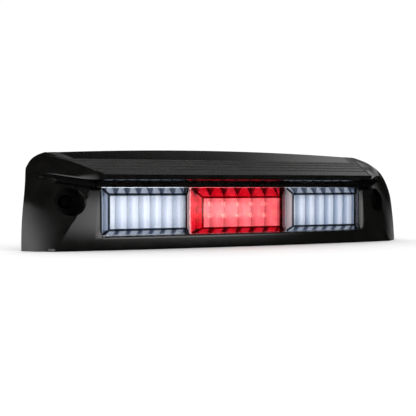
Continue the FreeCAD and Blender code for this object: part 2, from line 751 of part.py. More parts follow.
def lamps(bay):
    """Surface-mount lamps: a square base with a small round window on it."""
    pieces = []
    for number, (x, z) in enumerate(led_places(bay)):
        base = box(f"{bay}_lamp_{number}_base", (f"{x} - led_width / 2", f"{x} + led_width / 2"),
                   ("tub_floor_y - board_thickness - led_height", "tub_floor_y - board_thickness"),
                   (f"{z} - led_width / 2", f"{z} + led_width / 2"))
        window = rod(f"{bay}_lamp_{number}_window", "led_width * 0.36", x,
                     ("tub_floor_y - board_thickness - led_height - 0.3",
                      "tub_floor_y - board_thickness - led_height + 0.1"), z)
        pieces.append(fuse(f"{bay}_lamp_{number}", [base, window]))
    label = "stop_leds" if bay == "stop" else bay.replace("cargo", "cargo_leds")
    keep(group(f"{bay}_lamps", pieces), label)


def resistors(bay):
    """Chip resistors in a row above the lamps."""
    low_x, high_x = bay_limits(bay)
    pieces = []
    count = 4
    for number in range(count):
        x = f"( {low_x} ) + ( ( {high_x} ) - ( {low_x} ) ) * {number + 1} / {count + 1}"
        pieces.append(box(f"{bay}_resistor_{number}", (f"{x} - 1.6", f"{x} + 1.6"),
                          ("tub_floor_y - board_thickness - 0.6", "tub_floor_y - board_thickness"),
                          ("board_top_z - 7.9", "board_top_z - 6.3")))
    label = "stop_resistors" if bay == "stop" else bay.replace("cargo", "cargo_resistors")
    keep(group(f"{bay}_resistor_row", pieces), label)


def screw(name, x, z, head_y, length, scale=1.0, facing=1):
    """Pan-head screw along Y; the head stands on the facing side of head_y, with a cross recess."""
    shank, head, tall = (f"{scale} * {word}" for word in
                         ("screw_shank_radius", "screw_head_radius", "screw_head_height"))
    ends = (head_y, f"{head_y} + {tall}") if facing > 0 else (f"{head_y} - {tall}", head_y)
    run = (f"{head_y} - {length}", head_y) if facing > 0 else (head_y, f"{head_y} + {length}")
    top = ends[1] if facing > 0 else ends[0]
    slot = (f"{top} - 0.9", f"{top} + 0.5") if facing > 0 else (f"{top} - 0.5", f"{top} + 0.9")
    cap = rod(f"{name}_head", head, x, ends, z)
    stem = rod(f"{name}_stem", shank, x, run, z)
    reach, thin = f"{scale} * 1.7", f"{scale} * 0.4"
    arms = [box(f"{name}_recess_{word}", (f"{x} - {a}", f"{x} + {a}"), slot, (f"{z} - {b}", f"{z} + {b}"))
            for word, a, b in (("flat", reach, thin), ("upright", thin, reach))]
    return cut(name, fuse(f"{name}_blank", [cap, stem]), arms)


def board_screws():
    """Small screws that hold the three lamp boards on the tub's floor."""
    pieces = []
    for bay in BAYS:
        low_x, high_x = bay_limits(bay)
        middle = f"( ( {low_x} ) + ( {high_x} ) ) / 2"
        for number, (across, z) in enumerate(board_screw_offsets(bay)):
            x = f"( {middle} + {across} * stop_flute_pitch / 2 )"
            pieces.append(screw(f"{bay}_board_screw_{number}", x, f"( {z} )",
                                "( tub_floor_y - board_thickness )", "board_thickness",
                                scale=0.6, facing=-1))
    keep(group("board_screw_set", pieces), "board_screws")


def jumper_strips():
    """Flat links that pass through the dividers' notches from the stop board to the cargo boards."""
    pieces = []
    for side_name, side in SIDES.items():
        for number in (-1, 1):
            pieces.append(box(f"jumper_{side_name}_{number + 1}",
                              (f"{side} * divider_centre - 2.9", f"{side} * divider_centre + 2.9"),
                              ("tub_floor_y - board_thickness - 0.5", "tub_floor_y - board_thickness"),
                              (f"led_row_z + {number} * 1.6 - 0.8", f"led_row_z + {number} * 1.6 + 0.8")))
    keep(group("jumper_set", pieces), "jumper_strips")


# ---------------------------------------------------------------- driver bay
def driver_board():
    """Driver board on four posts behind the tub."""
    holes = [(f"{x} + 34", f"{z} + 17", "1.0") for x, z in DRIVER_POSTS]
    keep(plate("driver_plate", ("-34", "driver_board_y", "-17"), "68", "27", "board_thickness",
               holes=holes), "driver_board")


def driver_parts():
    """What the driver board carries: capacitor, regulator, diodes, screws and pins."""
    face = "driver_board_y + board_thickness"
    keep(rod("capacitor_can", "3.2", "-21", (face, f"{face} + 7"), "-5"), "smoothing_capacitor")
    tab = box("regulator_tab", ("-12", "-2.5"), (face, f"{face} + 0.8"), ("-9.5", "-1"))
    moulding = box("regulator_moulding", ("-11", "-3.5"), (f"{face} + 0.8", f"{face} + 2.5"),
                   ("-9.5", "-3"))
    keep(fuse("regulator_body", [tab, moulding]), "regulator")
    diodes = [box(f"diode_{number}", (f"{x}", f"{x} + 4.4"), (face, f"{face} + 2.2"), ("4", "6.6"))
              for number, x in enumerate(("-12", "-4"))]
    keep(group("diode_pair", diodes), "input_diodes")
    screws = [screw(f"driver_screw_{number}", str(x), f"( {z} )", f"( {face} )",
                    "( board_thickness + 2.2 )", 0.6)
              for number, (x, z) in enumerate(DRIVER_POSTS)]
    keep(group("driver_screw_set", screws), "driver_screws")
    pins = [box(f"link_pin_{number}", (f"{x} - 0.4", f"{x} + 0.4"), ("tub_floor_y", "driver_board_y"),
                ("led_row_z - 0.4", "led_row_z + 0.4")) for number, x in enumerate(("-6", "-2", "2", "6"))]
    keep(group("link_pin_set", pins), "link_pins")


def rear_cover():
    """Cover of the driver bay: a flanged box with a way out for the connector and a breather hole."""
    start = "tub_back_y + seal_thickness"
    half, reach = "cover_half_width", "cover_half_width + cover_flange"
    low, high = "cover_bottom_z", "cover_top_z"
    flange = box("cover_flange_plate", (f"- ( {reach} )", reach), (start, f"{start} + 2"),
                 (f"{low} - 2", f"{high} + 2"))
    dome_box = box("cover_dome", (f"- {half}", half), (start, "cover_back_y"), (low, high))
    hollow = box("cover_hollow", (f"- {half} + cover_wall", f"{half} - cover_wall"),
                 (start, "cover_back_y - cover_wall"), (f"{low} + cover_wall", f"{high} - cover_wall"))
    way_out = box("cover_connector_hole",
                  ("inlet_centre_x - inlet_width / 2", "inlet_centre_x + inlet_width / 2"),
                  ("cover_back_y - 4", "cover_back_y + 4"),
                  ("inlet_centre_z - inlet_height / 2", "inlet_centre_z + inlet_height / 2"))
    breather = rod("cover_breather_hole", "1.5", "-24", ("cover_back_y - 4", "cover_back_y + 4"), "0")
    tools = [hollow, way_out, breather]
    for number, (x, z) in enumerate(COVER_SCREWS):
        tools.append(rod(f"cover_hole_{number}", "screw_shank_radius + 0.3", str(x),
                         (start, f"{start} + 3"), str(z)))
    keep(cut("cover_finished", fuse("cover_raw", [flange, dome_box]), tools), "rear_cover")
    keep(plate("cover_ring", (f"- {half}", "tub_back_y", low), f"2 * {half}", f"{high} - {low}",
               "seal_thickness", opening=("2", "2", f"2 * {half} - 4", f"{high} - {low} - 4")),
         "rear_cover_seal")
    screws = [screw(f"cover_screw_{number}", str(x), f"( {z} )", f"( {start} + 2 )",
                    "( 5.5 + seal_thickness )", 0.8)
              for number, (x, z) in enumerate(COVER_SCREWS)]
    keep(group("cover_screw_set", screws), "rear_cover_screws")
    keep(rod("vent_disc", "4", "-24", ("cover_back_y", "cover_back_y + 0.8"), "0"), "breather_vent")


def connector():
    """Connector inlet that stands out of the rear cover, its three terminals and its seal."""
    x, z = "inlet_centre_x", "inlet_centre_z"
    wide, tall, wall = "inlet_width / 2", "inlet_height / 2", "inlet_wall"
    front = "cover_back_y - cover_wall - 1"
    shroud = box("inlet_block", (f"{x} - {wide}", f"{x} + {wide}"), (front, "inlet_back_y"),
                 (f"{z} - {tall}", f"{z} + {tall}"))
    socket = box("inlet_socket", (f"{x} - {wide} + {wall}", f"{x} + {wide} - {wall}"),
                 ("cover_back_y + 1", "inlet_back_y"), (f"{z} - {tall} + {wall}", f"{z} + {tall} - {wall}"))
    slots, terminals = [], []
    for number in (-1, 0, 1):
        across = f"{x} + {number} * terminal_pitch"
        limits = (f"{across} - 0.4", f"{across} + 0.4"), (f"{z} - 0.4", f"{z} + 0.4")
        reach = ("driver_board_y + board_thickness", "inlet_back_y - 4")
        slots.append(box(f"terminal_slot_{number + 1}", limits[0], (front, "cover_back_y + 1"), limits[1]))
        terminals.append(box(f"terminal_{number + 1}", limits[0], reach, limits[1]))
    latch = box("inlet_latch", (f"{x} - 3", f"{x} + 3"), ("inlet_back_y - 7", "inlet_back_y - 4"),
                (f"{z} + {tall}", f"{z} + {tall} + 1.4"))
    keep(cut("inlet_finished", fuse("inlet_raw", [shroud, latch]), [socket] + slots), "connector_inlet")
    keep(group("terminal_set", terminals), "terminal_pins")
    keep(plate("inlet_ring", (f"{x} - {wide} - 1.8", "cover_back_y", f"{z} - {tall} - 1.8"),
               "inlet_width + 3.6", "inlet_height + 3.6", "1.4",
               opening=("1.8", "1.8", "inlet_width", "inlet_height")), "inlet_seal")


def housing_screws():
    """Screws that hold the tub's ears on the housing's bosses."""
    pieces = [screw(f"housing_screw_{number}", str(x), f"( {z} )", "( ear_y + ear_thickness )",
                    "screw_length")
              for number, (x, z) in enumerate(EARS)]
    keep(group("housing_screw_set", pieces), "housing_screws")


# ---------------------------------------------------------------- build, check and write
hollow_form = outer_housing()
foam_gasket(hollow_form)
mounting_sleeves()
lens_pieces()
optics()
lamp_body()
lens_seal()
for bay_name in BAYS:
    reflector(bay_name)
    lamp_board(bay_name)
    lamps(bay_name)
    resistors(bay_name)
board_screws()
jumper_strips()
driver_board()
driver_parts()
rear_cover()
connector()
housing_screws()
doc.recompute()

faults = [o.Name for o in doc.Objects if "Invalid" in o.State or "Error" in o.State]
if faults:
    raise RuntimeError(f"objects that failed: {faults}")
for node in NODES:
    if node.Shape.isNull() or not node.Shape.isValid() or not node.Shape.Solids:
        raise RuntimeError(f"{node.Label} has no valid solid")
for node in NODES:
    node.Shape.exportStep(f"parts/{node.Label}.step")
    bounds = node.Shape.BoundBox
    print(f"{node.Label:24s} solids {len(node.Shape.Solids):3d}  volume {node.Shape.Volume:10.0f}  "
          f"x {bounds.XMin:7.1f} {bounds.XMax:7.1f}  y {bounds.YMin:6.1f} {bounds.YMax:6.1f}  "
          f"z {bounds.ZMin:6.1f} {bounds.ZMax:6.1f}")
print("pieces:", len(NODES))
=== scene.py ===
"""Third brake light: the visual model and its studio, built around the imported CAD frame.

Sizes in the classes are millimetres in the CAD frame: X right, Y towards the cab, Z up.
The lamp shines towards -Y. Meshes are turned into metres where they are made.
"""

import json
import logging
import math
from dataclasses import dataclass, field
from enum import Enum
from typing import Sequence

import bmesh
import bpy
from mathutils import Euler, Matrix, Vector


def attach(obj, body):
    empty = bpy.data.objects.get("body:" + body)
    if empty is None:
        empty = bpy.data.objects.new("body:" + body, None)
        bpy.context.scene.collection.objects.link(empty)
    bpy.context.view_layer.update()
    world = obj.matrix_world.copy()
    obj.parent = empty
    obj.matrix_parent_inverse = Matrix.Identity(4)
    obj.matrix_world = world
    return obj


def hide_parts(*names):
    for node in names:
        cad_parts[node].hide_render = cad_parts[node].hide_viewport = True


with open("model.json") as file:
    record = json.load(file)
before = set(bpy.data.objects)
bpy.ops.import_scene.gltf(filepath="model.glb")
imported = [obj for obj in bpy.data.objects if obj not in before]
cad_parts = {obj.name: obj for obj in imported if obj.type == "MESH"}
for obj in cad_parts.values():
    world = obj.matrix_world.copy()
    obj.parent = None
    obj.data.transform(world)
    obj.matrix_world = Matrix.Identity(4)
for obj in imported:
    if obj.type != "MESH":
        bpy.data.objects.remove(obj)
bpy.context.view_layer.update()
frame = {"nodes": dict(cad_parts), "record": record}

log = logging.getLogger("third_brake_light")
MM = 0.001
BODY = "root"
Point = tuple[float, float, float]
Colour = tuple[float, float, float]
Socket = bpy.types.NodeSocket


class Side(Enum):
    """The two mirror-image ends of the lamp."""

    LEFT = -1
    RIGHT = 1


class HousingSlot(Enum):
    """Material slots of the black shell."""

    GLOSS = 0
    SHADE = 1
    SATIN = 2


class DomeSlot(Enum):
    """Material slots of a lens dome."""

    FRONT = 0
    # EDGE holds the chamfer faces, which carry a painted shade
    EDGE = 1
    BEVEL = 2
    INNER_SIDE = 3


# ------------------------------------------------------------------ finishes
class Nodes:
    """A short way to build one material's node tree."""

    def __init__(self, title: str) -> None:
        """Start an empty tree.

        Args:
            title: the material's name.
        """
        self.material = bpy.data.materials.new(title)
        self.material.use_nodes = True
        self.tree = self.material.node_tree
        self.tree.nodes.clear()
        self.output = self.add("ShaderNodeOutputMaterial")
        self.place = self.add("ShaderNodeTexCoord").outputs["Object"]

    def add(self, kind: str, **settings: object) -> bpy.types.Node:
        """Add a node and set its properties.

        Args:
            kind: the node's type name.
            settings: its properties by name.

        Returns:
            The new node.
        """
        node = self.tree.nodes.new(kind)
        for key, value in settings.items():
            setattr(node, key, value)
        return node

    def link(self, source: Socket, target: Socket) -> None:
        """Join two sockets."""
        self.tree.links.new(source, target)

    def noise(self, scale: float, detail: float = 3.0, stretch: Point = (1, 1, 1)) -> Socket:
        """A noise value over the piece.

        Args:
            scale: noise cells per metre.
            detail: octaves.
            stretch: scale along each axis.

        Returns:
            The noise factor socket.
        """
        mapping = self.add("ShaderNodeMapping")
        mapping.inputs["Scale"].default_value = stretch
        self.link(self.place, mapping.inputs["Vector"])
        noise = self.add("ShaderNodeTexNoise")
        noise.inputs["Scale"].default_value = scale
        noise.inputs["Detail"].default_value = detail
        self.link(mapping.outputs["Vector"], noise.inputs["Vector"])
        return noise.outputs["Fac"]

    def value(self, operation: str, *terms: Socket | float) -> Socket:
        """One sum on sockets or numbers.

        Args:
            operation: the math node's operation.
            terms: sockets or numbers, in the operation's order.

        Returns:
            The result's socket.
        """
        node = self.add("ShaderNodeMath", operation=operation)
        for number, term in enumerate(terms):
            if isinstance(term, Socket):
                self.link(term, node.inputs[number])
            else:
                node.inputs[number].default_value = term
        return node.outputs[0]

    def mix(self, factor: Socket | float, first: Socket, second: Socket | Colour,
            blend_type: str = "MIX") -> Socket:
        """Mix two colours.

        Args:
            factor: the second colour's share.
            first: colour socket.
            second: colour or colour socket.
            blend_type: the way of mixing.

        Returns:
            The colour socket.
        """
        node = self.add("ShaderNodeMix", data_type="RGBA", blend_type=blend_type)
        if isinstance(factor, Socket):
            self.link(factor, node.inputs["Factor"])
        else:
            node.inputs["Factor"].default_value = factor
        self.link(first, node.inputs["A"])
        if isinstance(second, Socket):
            self.link(second, node.inputs["B"])
        else:
            node.inputs["B"].default_value = (*second, 1)
        return node.outputs["Result"]

    def between(self, factor: Socket, low: float, high: float) -> Socket:
        """Map the middle of a noise to a range.

        Args:
            factor: the noise.
            low: result at the noise's low end.
            high: result at its high end.

        Returns:
            The mapped value socket.
        """
        spread = self.add("ShaderNodeMapRange")
        spread.inputs["From Min"].default_value = 0.3
        spread.inputs["From Max"].default_value = 0.7
        spread.inputs["To Min"].default_value = low
        spread.inputs["To Max"].default_value = high
        self.link(factor, spread.inputs["Value"])
        return spread.outputs["Result"]

    def blend(self, factor: Socket, first: Colour, second: Colour) -> Socket:
        """Blend two colours by a noise.

        Args:
            factor: the noise.
            first: colour at its low end.
            second: colour at its high end.

        Returns:
            The colour socket.
        """
        ramp = self.add("ShaderNodeValToRGB")
        ramp.color_ramp.elements[0].position = 0.35
        ramp.color_ramp.elements[1].position = 0.65
        ramp.color_ramp.elements[0].color = (*first, 1)
        ramp.color_ramp.elements[1].color = (*second, 1)
        self.link(factor, ramp.inputs["Fac"])
        return ramp.outputs["Color"]

    def relief(self, shader: bpy.types.Node, scale: float, height: float) -> None:
        """Give a shader a fine bumpy relief.

        Args:
            shader: the shader node with a Normal socket.
            scale: noise cells per metre.
            height: relief depth in metres.
        """
        bump = self.add("ShaderNodeBump")
        bump.inputs["Strength"].default_value = 1.0
        bump.inputs["Distance"].default_value = height
        self.link(self.noise(scale, 4.0), bump.inputs["Height"])
        self.link(bump.outputs["Normal"], shader.inputs["Normal"])

    def finish(self, shader: Socket) -> bpy.types.Material:
        """Use a shader as the surface.

        Args:
            shader: the shader socket.

        Returns:
            The finished material.
        """
        self.link(shader, self.output.inputs["Surface"])
        return self.material


@dataclass(frozen=True)
class SolidFinish:
    """An opaque surface: two close tones, a roughness range and a fine relief."""

    title: str
    tone: Colour
    second_tone: Colour
    roughness: tuple[float, float] = (0.35, 0.5)
    metallic: float = 0.0
    patch_scale: float = 90.0
    grain_scale: float = 1600.0
    grain_height: float = 0.00002
    stretch: Point = (1.0, 1.0, 1.0)
    ior: float = 1.5
    glow: Colour = (0.0, 0.0, 0.0)
    glow_strength: float = 0.0

    def material(self) -> bpy.types.Material:
        """Build the node material."""
        nodes = Nodes(self.title)
        shader = nodes.add("ShaderNodeBsdfPrincipled")
        shader.inputs["Metallic"].default_value = self.metallic
        shader.inputs["IOR"].default_value = self.ior
        patches = nodes.noise(self.patch_scale, 4.0, self.stretch)
        nodes.link(nodes.blend(patches, self.tone, self.second_tone), shader.inputs["Base Color"])
        wear = nodes.noise(self.patch_scale * 3, 3.0, self.stretch)
        nodes.link(nodes.between(wear, *self.roughness), shader.inputs["Roughness"])
        if self.grain_height:
            nodes.relief(shader, self.grain_scale, self.grain_height)
        if self.glow_strength:
            shader.inputs["Emission Color"].default_value = (*self.glow, 1)
            shader.inputs["Emission Strength"].default_value = self.glow_strength
        return nodes.finish(shader.outputs["BSDF"])


@dataclass(frozen=True)
class LensFinish:
    """A clear or tinted moulding that lets light through and mirrors at a slant."""

    title: str
    tint: Colour
    second_tint: Colour
    mirror: float = 0.04
    edge_mirror: float = 0.85
    mirror_power: float = 4.0
    roughness: float = 0.02

    def material(self) -> bpy.types.Material:
        """Build the node material."""
        nodes = Nodes(self.title)
        clear = nodes.add("ShaderNodeBsdfTransparent")
        nodes.link(nodes.blend(nodes.noise(120.0), self.tint, self.second_tint), clear.inputs["Color"])
        gloss = nodes.add("ShaderNodeBsdfGlossy")
        gloss.inputs["Color"].default_value = (1, 1, 1, 1)
        gloss.inputs["Roughness"].default_value = self.roughness
        facing = nodes.add("ShaderNodeLayerWeight")
        facing.inputs["Blend"].default_value = 0.5
        slant = nodes.value("POWER", facing.outputs["Facing"], self.mirror_power)
        share = nodes.add("ShaderNodeMapRange")
        share.inputs["To Min"].default_value = self.mirror
        share.inputs["To Max"].default_value = self.edge_mirror
        nodes.link(slant, share.inputs["Value"])
        mix = nodes.add("ShaderNodeMixShader")
        nodes.link(share.outputs["Result"], mix.inputs["Fac"])
        nodes.link(clear.outputs["BSDF"], mix.inputs[1])
        nodes.link(gloss.outputs["BSDF"], mix.inputs[2])
        return nodes.finish(mix.outputs["Shader"])


@dataclass(frozen=True)
class FrostedFinish:
    """A pale moulding that scatters most light and lets the rest through."""

    title: str
    tone: Colour
    second_tone: Colour
    clear_share: float = 0.22
    roughness: float = 0.14

    def material(self) -> bpy.types.Material:
        """Build the node material."""
        nodes = Nodes(self.title)
        streaks = nodes.noise(330.0, 3.0, (1.0, 1.0, 0.06))
        return self.mixed(nodes, nodes.blend(streaks, self.tone, self.second_tone), None)

    def mixed(self, nodes: Nodes, colour: Socket, glow: Socket | None) -> bpy.types.Material:
        """Mix the scattering surface with a clear share.

        Args:
            nodes: the tree.
            colour: the surface colour.
            glow: the colour of its painted glow, standing in for lamp light, or None.

        Returns:
            The finished material.
        """
        shader = nodes.add("ShaderNodeBsdfPrincipled")
        shader.inputs["Roughness"].default_value = self.roughness
        nodes.link(colour, shader.inputs["Base Color"])
        # painted glow: emission in place of lamp light shining through
        if glow is not None:
            nodes.link(glow, shader.inputs["Emission Color"])
            shader.inputs["Emission Strength"].default_value = 1.0
        clear = nodes.add("ShaderNodeBsdfTransparent")
        clear.inputs["Color"].default_value = (0.97, 0.98, 1.0, 1)
        mix = nodes.add("ShaderNodeMixShader")
        mix.inputs["Fac"].default_value = 1 - self.clear_share
        nodes.link(clear.outputs["BSDF"], mix.inputs[1])
        nodes.link(shader.outputs["BSDF"], mix.inputs[2])
        return nodes.finish(mix.outputs["Shader"])


@dataclass(frozen=True)
class FluteFinish(FrostedFinish):
    """The fluted optic's moulding with painted light: painted shade across each flute from its cusp, painted
    shade in wedges on its sloping ends, a painted glow and painted glints.
    """

    first_x: float = 0.0
    pitch: float = 11.1
    ends: tuple[float, float, float] = (-25.0, 4.5, 8.1)
    # painted shade: colour of each flute's dark cusp and of its shaded side
    cusp: Colour = (0.05, 0.06, 0.08)
    shade: Colour = (0.36, 0.42, 0.52)
    # painted shade on the flutes' sloping ends, and how far it reaches above and below
    wedge: Colour = (0.10, 0.12, 0.17)
    waver: float = 0.10
    wedge_above: float = 0.55
    wedge_below: float = 0.28
    # painted glow: share of the colour the optic gives off as light, standing in for lamp light through it
    painted_glow_share: float = 0.3
    # painted glints of the lamps: height of each row of glints, and half their width in flutes and half
    # their height
    glints: tuple[Point, ...] = ()
    glint_tone: Colour = (1.0, 0.78, 0.42)
    glint_across: float = 0.64
    glint_ring: float = 0.62

    def material(self) -> bpy.types.Material:
        """Build the node material."""
        nodes = Nodes(self.title)
        parts = nodes.add("ShaderNodeSeparateXYZ")
        nodes.link(nodes.place, parts.inputs["Vector"])
        x, z = parts.outputs["X"], parts.outputs["Z"]
        wave = nodes.value("SUBTRACT", nodes.noise(140.0, 2.0, (1.0, 1.0, 0.5)), 0.5)
        place = nodes.value("SUBTRACT", x, self.first_x * MM)
        turns = nodes.value("DIVIDE", place, self.pitch * MM)
        across = nodes.value("FRACT", nodes.value("MULTIPLY_ADD", wave, self.waver, turns))
        # painted shade: the flute ramp, darkened in wedges on the sloping ends
        shaded = nodes.mix(self.in_painted_end_shade(nodes, across, z), self.painted_flute_shade(nodes, across), self.wedge)
        streaks = nodes.noise(420.0, 3.0, (1.0, 1.0, 0.05))
        lines = nodes.blend(streaks, (0.86, 0.88, 0.92), (1.0, 1.0, 1.0))
        colour = nodes.mix(1.0, shaded, lines, "MULTIPLY")
        # painted glow: the optic's own colour, dimmed, given off as light
        light = nodes.mix(1.0, colour, (self.painted_glow_share,) * 3, "MULTIPLY")
        if self.glints:
            light = self.with_painted_glints(nodes, light, across, z)
        return self.mixed(nodes, colour, light)

    def painted_flute_shade(self, nodes: Nodes, across: Socket) -> Socket:
        """The painted shade across one flute, from its cusp.

        Args:
            nodes: the tree.
            across: place across the flute, 0 to 1.

        Returns:
            The colour socket.
        """
        ramp = nodes.add("ShaderNodeValToRGB")
        stops = ramp.color_ramp.elements
        stops[0].position, stops[0].color = 0.0, (*self.cusp, 1)
        stops[1].position, stops[1].color = 1.0, (*self.tone, 1)
        for position, tone in ((0.05, self.shade), (0.30, self.tone), (0.46, self.second_tone),
                               (0.82, self.second_tone), (0.95, self.tone)):
            stop = stops.new(position)
            stop.color = (*tone, 1)
        nodes.link(across, ramp.inputs["Fac"])
        return ramp.outputs["Color"]

    def in_painted_end_shade(self, nodes: Nodes, across: Socket, z: Socket) -> Socket:
        """One where a flute's sloping end gets painted shade: a widening wedge above, a strip below.

        Args:
            nodes: the tree.
            across: place across the flute, 0 to 1.
            z: height.

        Returns:
            The factor socket.
        """
        low, high, rise = self.ends
        lift = nodes.value("SUBTRACT", z, high * MM)
        above = nodes.value("MULTIPLY", nodes.value("DIVIDE", lift, rise * MM), self.wedge_above)
        under = nodes.value("LESS_THAN", z, low * MM)
        reach = nodes.value("MULTIPLY_ADD", under, self.wedge_below, above)
        least = nodes.value("MULTIPLY", under, self.wedge_below)
        return nodes.value("LESS_THAN", across, nodes.value("MAXIMUM", reach, least))

    def with_painted_glints(self, nodes: Nodes, light: Socket, across: Socket, z: Socket) -> Socket:
        """Paint a lamp's glint in each flute, at every level of the lamp rows.

        Args:
            nodes: the tree.
            light: the glow so far.
            across: place across the flute.
            z: height.

        Returns:
            The glow with its painted glints.
        """
        rough = nodes.value("SUBTRACT", nodes.noise(900.0, 2.0), 0.5)
        for level, wide, tall in self.glints:
            side = nodes.value("DIVIDE", nodes.value("SUBTRACT", across, self.glint_across), wide)
            lift = nodes.value("DIVIDE", nodes.value("SUBTRACT", z, level * MM), tall * MM)
            square = nodes.value("ADD", nodes.value("MULTIPLY", side, side),
                                 nodes.value("MULTIPLY", lift, lift))
            away = nodes.value("SQRT", square)
            ring = nodes.value("ABSOLUTE", nodes.value("SUBTRACT", away, self.glint_ring))
            mark = nodes.add("ShaderNodeMapRange", interpolation_type="SMOOTHSTEP")
            for name, number in (("From Min", 0.08), ("From Max", 0.34), ("To Min", 1.0), ("To Max", 0.0)):
                mark.inputs[name].default_value = number
            nodes.link(nodes.value("MULTIPLY_ADD", rough, 0.9, ring), mark.inputs["Value"])
            light = nodes.mix(mark.outputs["Result"], light, self.glint_tone)
        return light


GLOSS_BLACK = SolidFinish("gloss_black_plastic", (0.0040, 0.0038, 0.0036), (0.0062, 0.0060, 0.0056),
                          (0.09, 0.13), grain_scale=2600.0, grain_height=0.0000012)
# painted shade: a darker, duller black for the pocket floors, the recess end and the gutter's front part
SHADE_BLACK = SolidFinish("shaded_black_plastic", (0.0015, 0.0015, 0.0015), (0.003, 0.003, 0.003),
                          (0.5, 0.65), ior=1.3)
SATIN_BLACK = SolidFinish("satin_black_plastic", (0.028, 0.028, 0.027), (0.040, 0.040, 0.039), (0.24, 0.34),
                          patch_scale=300.0, grain_scale=2600.0, grain_height=0.000006,
                          stretch=(0.12, 1.0, 1.0))
CLEAR_LENS = LensFinish("clear_polycarbonate", (0.975, 0.985, 1.0), (0.955, 0.97, 0.995))
# painted shade: the clear domes' chamfer edges are tinted nearly black to draw dark edge lines
CLEAR_EDGE_PAINTED_SHADE = LensFinish("clear_lens_edge_painted_shade", (0.04, 0.045, 0.055), (0.09, 0.10, 0.12), edge_mirror=0.4)
CLEAR_BEVEL = LensFinish("clear_lens_bevel", (0.98, 0.99, 1.0), (0.93, 0.96, 1.0), mirror=0.05)
# painted reflection: the front tint is paler pink than the bevels' deep red, standing in for the soft
# panel's veil
RED_LENS_PAINTED_REFLECTION = LensFinish("red_polycarbonate_painted_reflection", (0.995, 0.50, 0.53), (0.99, 0.42, 0.46))
RED_BEVEL = LensFinish("red_lens_bevel", (0.96, 0.17, 0.25), (0.88, 0.06, 0.12), mirror=0.03)
# painted shade: the red dome's chamfer edges are tinted nearly black to draw dark edge lines
RED_EDGE_PAINTED_SHADE = LensFinish("red_lens_edge_painted_shade", (0.16, 0.002, 0.004), (0.26, 0.004, 0.008), edge_mirror=0.4)
PALE_SIDE = FrostedFinish("pale_dome_side", (0.42, 0.41, 0.44), (0.62, 0.62, 0.66), clear_share=0.15)
PALE_OPTIC = FrostedFinish("plain_optic_moulding", (0.72, 0.78, 0.88), (0.92, 0.95, 1.0))

CAD_FINISHES: dict[str, SolidFinish] = {
    "gloss_black": GLOSS_BLACK,
    "bright_reflector": SolidFinish("metallised_reflector", (0.86, 0.87, 0.9), (0.78, 0.8, 0.84),
                                    (0.12, 0.22), metallic=1.0, grain_scale=1100.0, grain_height=0.00001),
    "black_abs": SolidFinish("matt_black_moulding", (0.012, 0.012, 0.013), (0.02, 0.02, 0.021),
                             (0.42, 0.6), grain_scale=2200.0, grain_height=0.00004),
    "seal_rubber": SolidFinish("seal_rubber", (0.014, 0.014, 0.014), (0.024, 0.023, 0.022),
                               (0.65, 0.85), grain_scale=1200.0, grain_height=0.00006),
    "foam": SolidFinish("closed_cell_foam", (0.02, 0.02, 0.02), (0.045, 0.044, 0.043),
                        (0.85, 0.98), patch_scale=700.0, grain_scale=900.0, grain_height=0.00022),
    "board_white": SolidFinish("white_solder_mask", (0.78, 0.79, 0.77), (0.70, 0.71, 0.69),
                               (0.3, 0.42), grain_scale=2400.0),
    "board_green": SolidFinish("green_solder_mask", (0.012, 0.13, 0.045), (0.008, 0.09, 0.03),
                               (0.28, 0.42), patch_scale=160.0, grain_scale=2000.0),
    "red_led": SolidFinish("red_lamp_resin", (0.9, 0.42, 0.22), (0.95, 0.55, 0.3), (0.12, 0.2),
                           glow=(1.0, 0.8, 0.55), glow_strength=24.0),
    "white_led": SolidFinish("white_lamp_resin", (0.92, 0.84, 0.5), (0.95, 0.9, 0.62), (0.15, 0.25),
                             glow=(1.0, 0.95, 0.85), glow_strength=0.6),
    "chip_part": SolidFinish("chip_package", (0.018, 0.018, 0.02), (0.032, 0.032, 0.034), (0.4, 0.55)),
    "capacitor_can": SolidFinish("aluminium_can", (0.62, 0.63, 0.65), (0.5, 0.51, 0.53), (0.22, 0.38),
                                 metallic=1.0),
    "zinc_steel": SolidFinish("zinc_plated_steel", (0.62, 0.63, 0.64), (0.46, 0.47, 0.5), (0.2, 0.38),
                              metallic=1.0, patch_scale=220.0),
    "black_zinc": SolidFinish("black_zinc_steel", (0.006, 0.006, 0.006), (0.011, 0.011, 0.011), (0.45, 0.6),
                              metallic=1.0, patch_scale=220.0),
    "tin_copper": SolidFinish("tinned_copper", (0.72, 0.7, 0.66), (0.6, 0.57, 0.52), (0.18, 0.34),
                              metallic=1.0, patch_scale=260.0),
    "vent_membrane": SolidFinish("vent_membrane", (0.62, 0.62, 0.6), (0.52, 0.52, 0.5), (0.7, 0.9),
                                 grain_scale=3000.0, grain_height=0.00008),
}


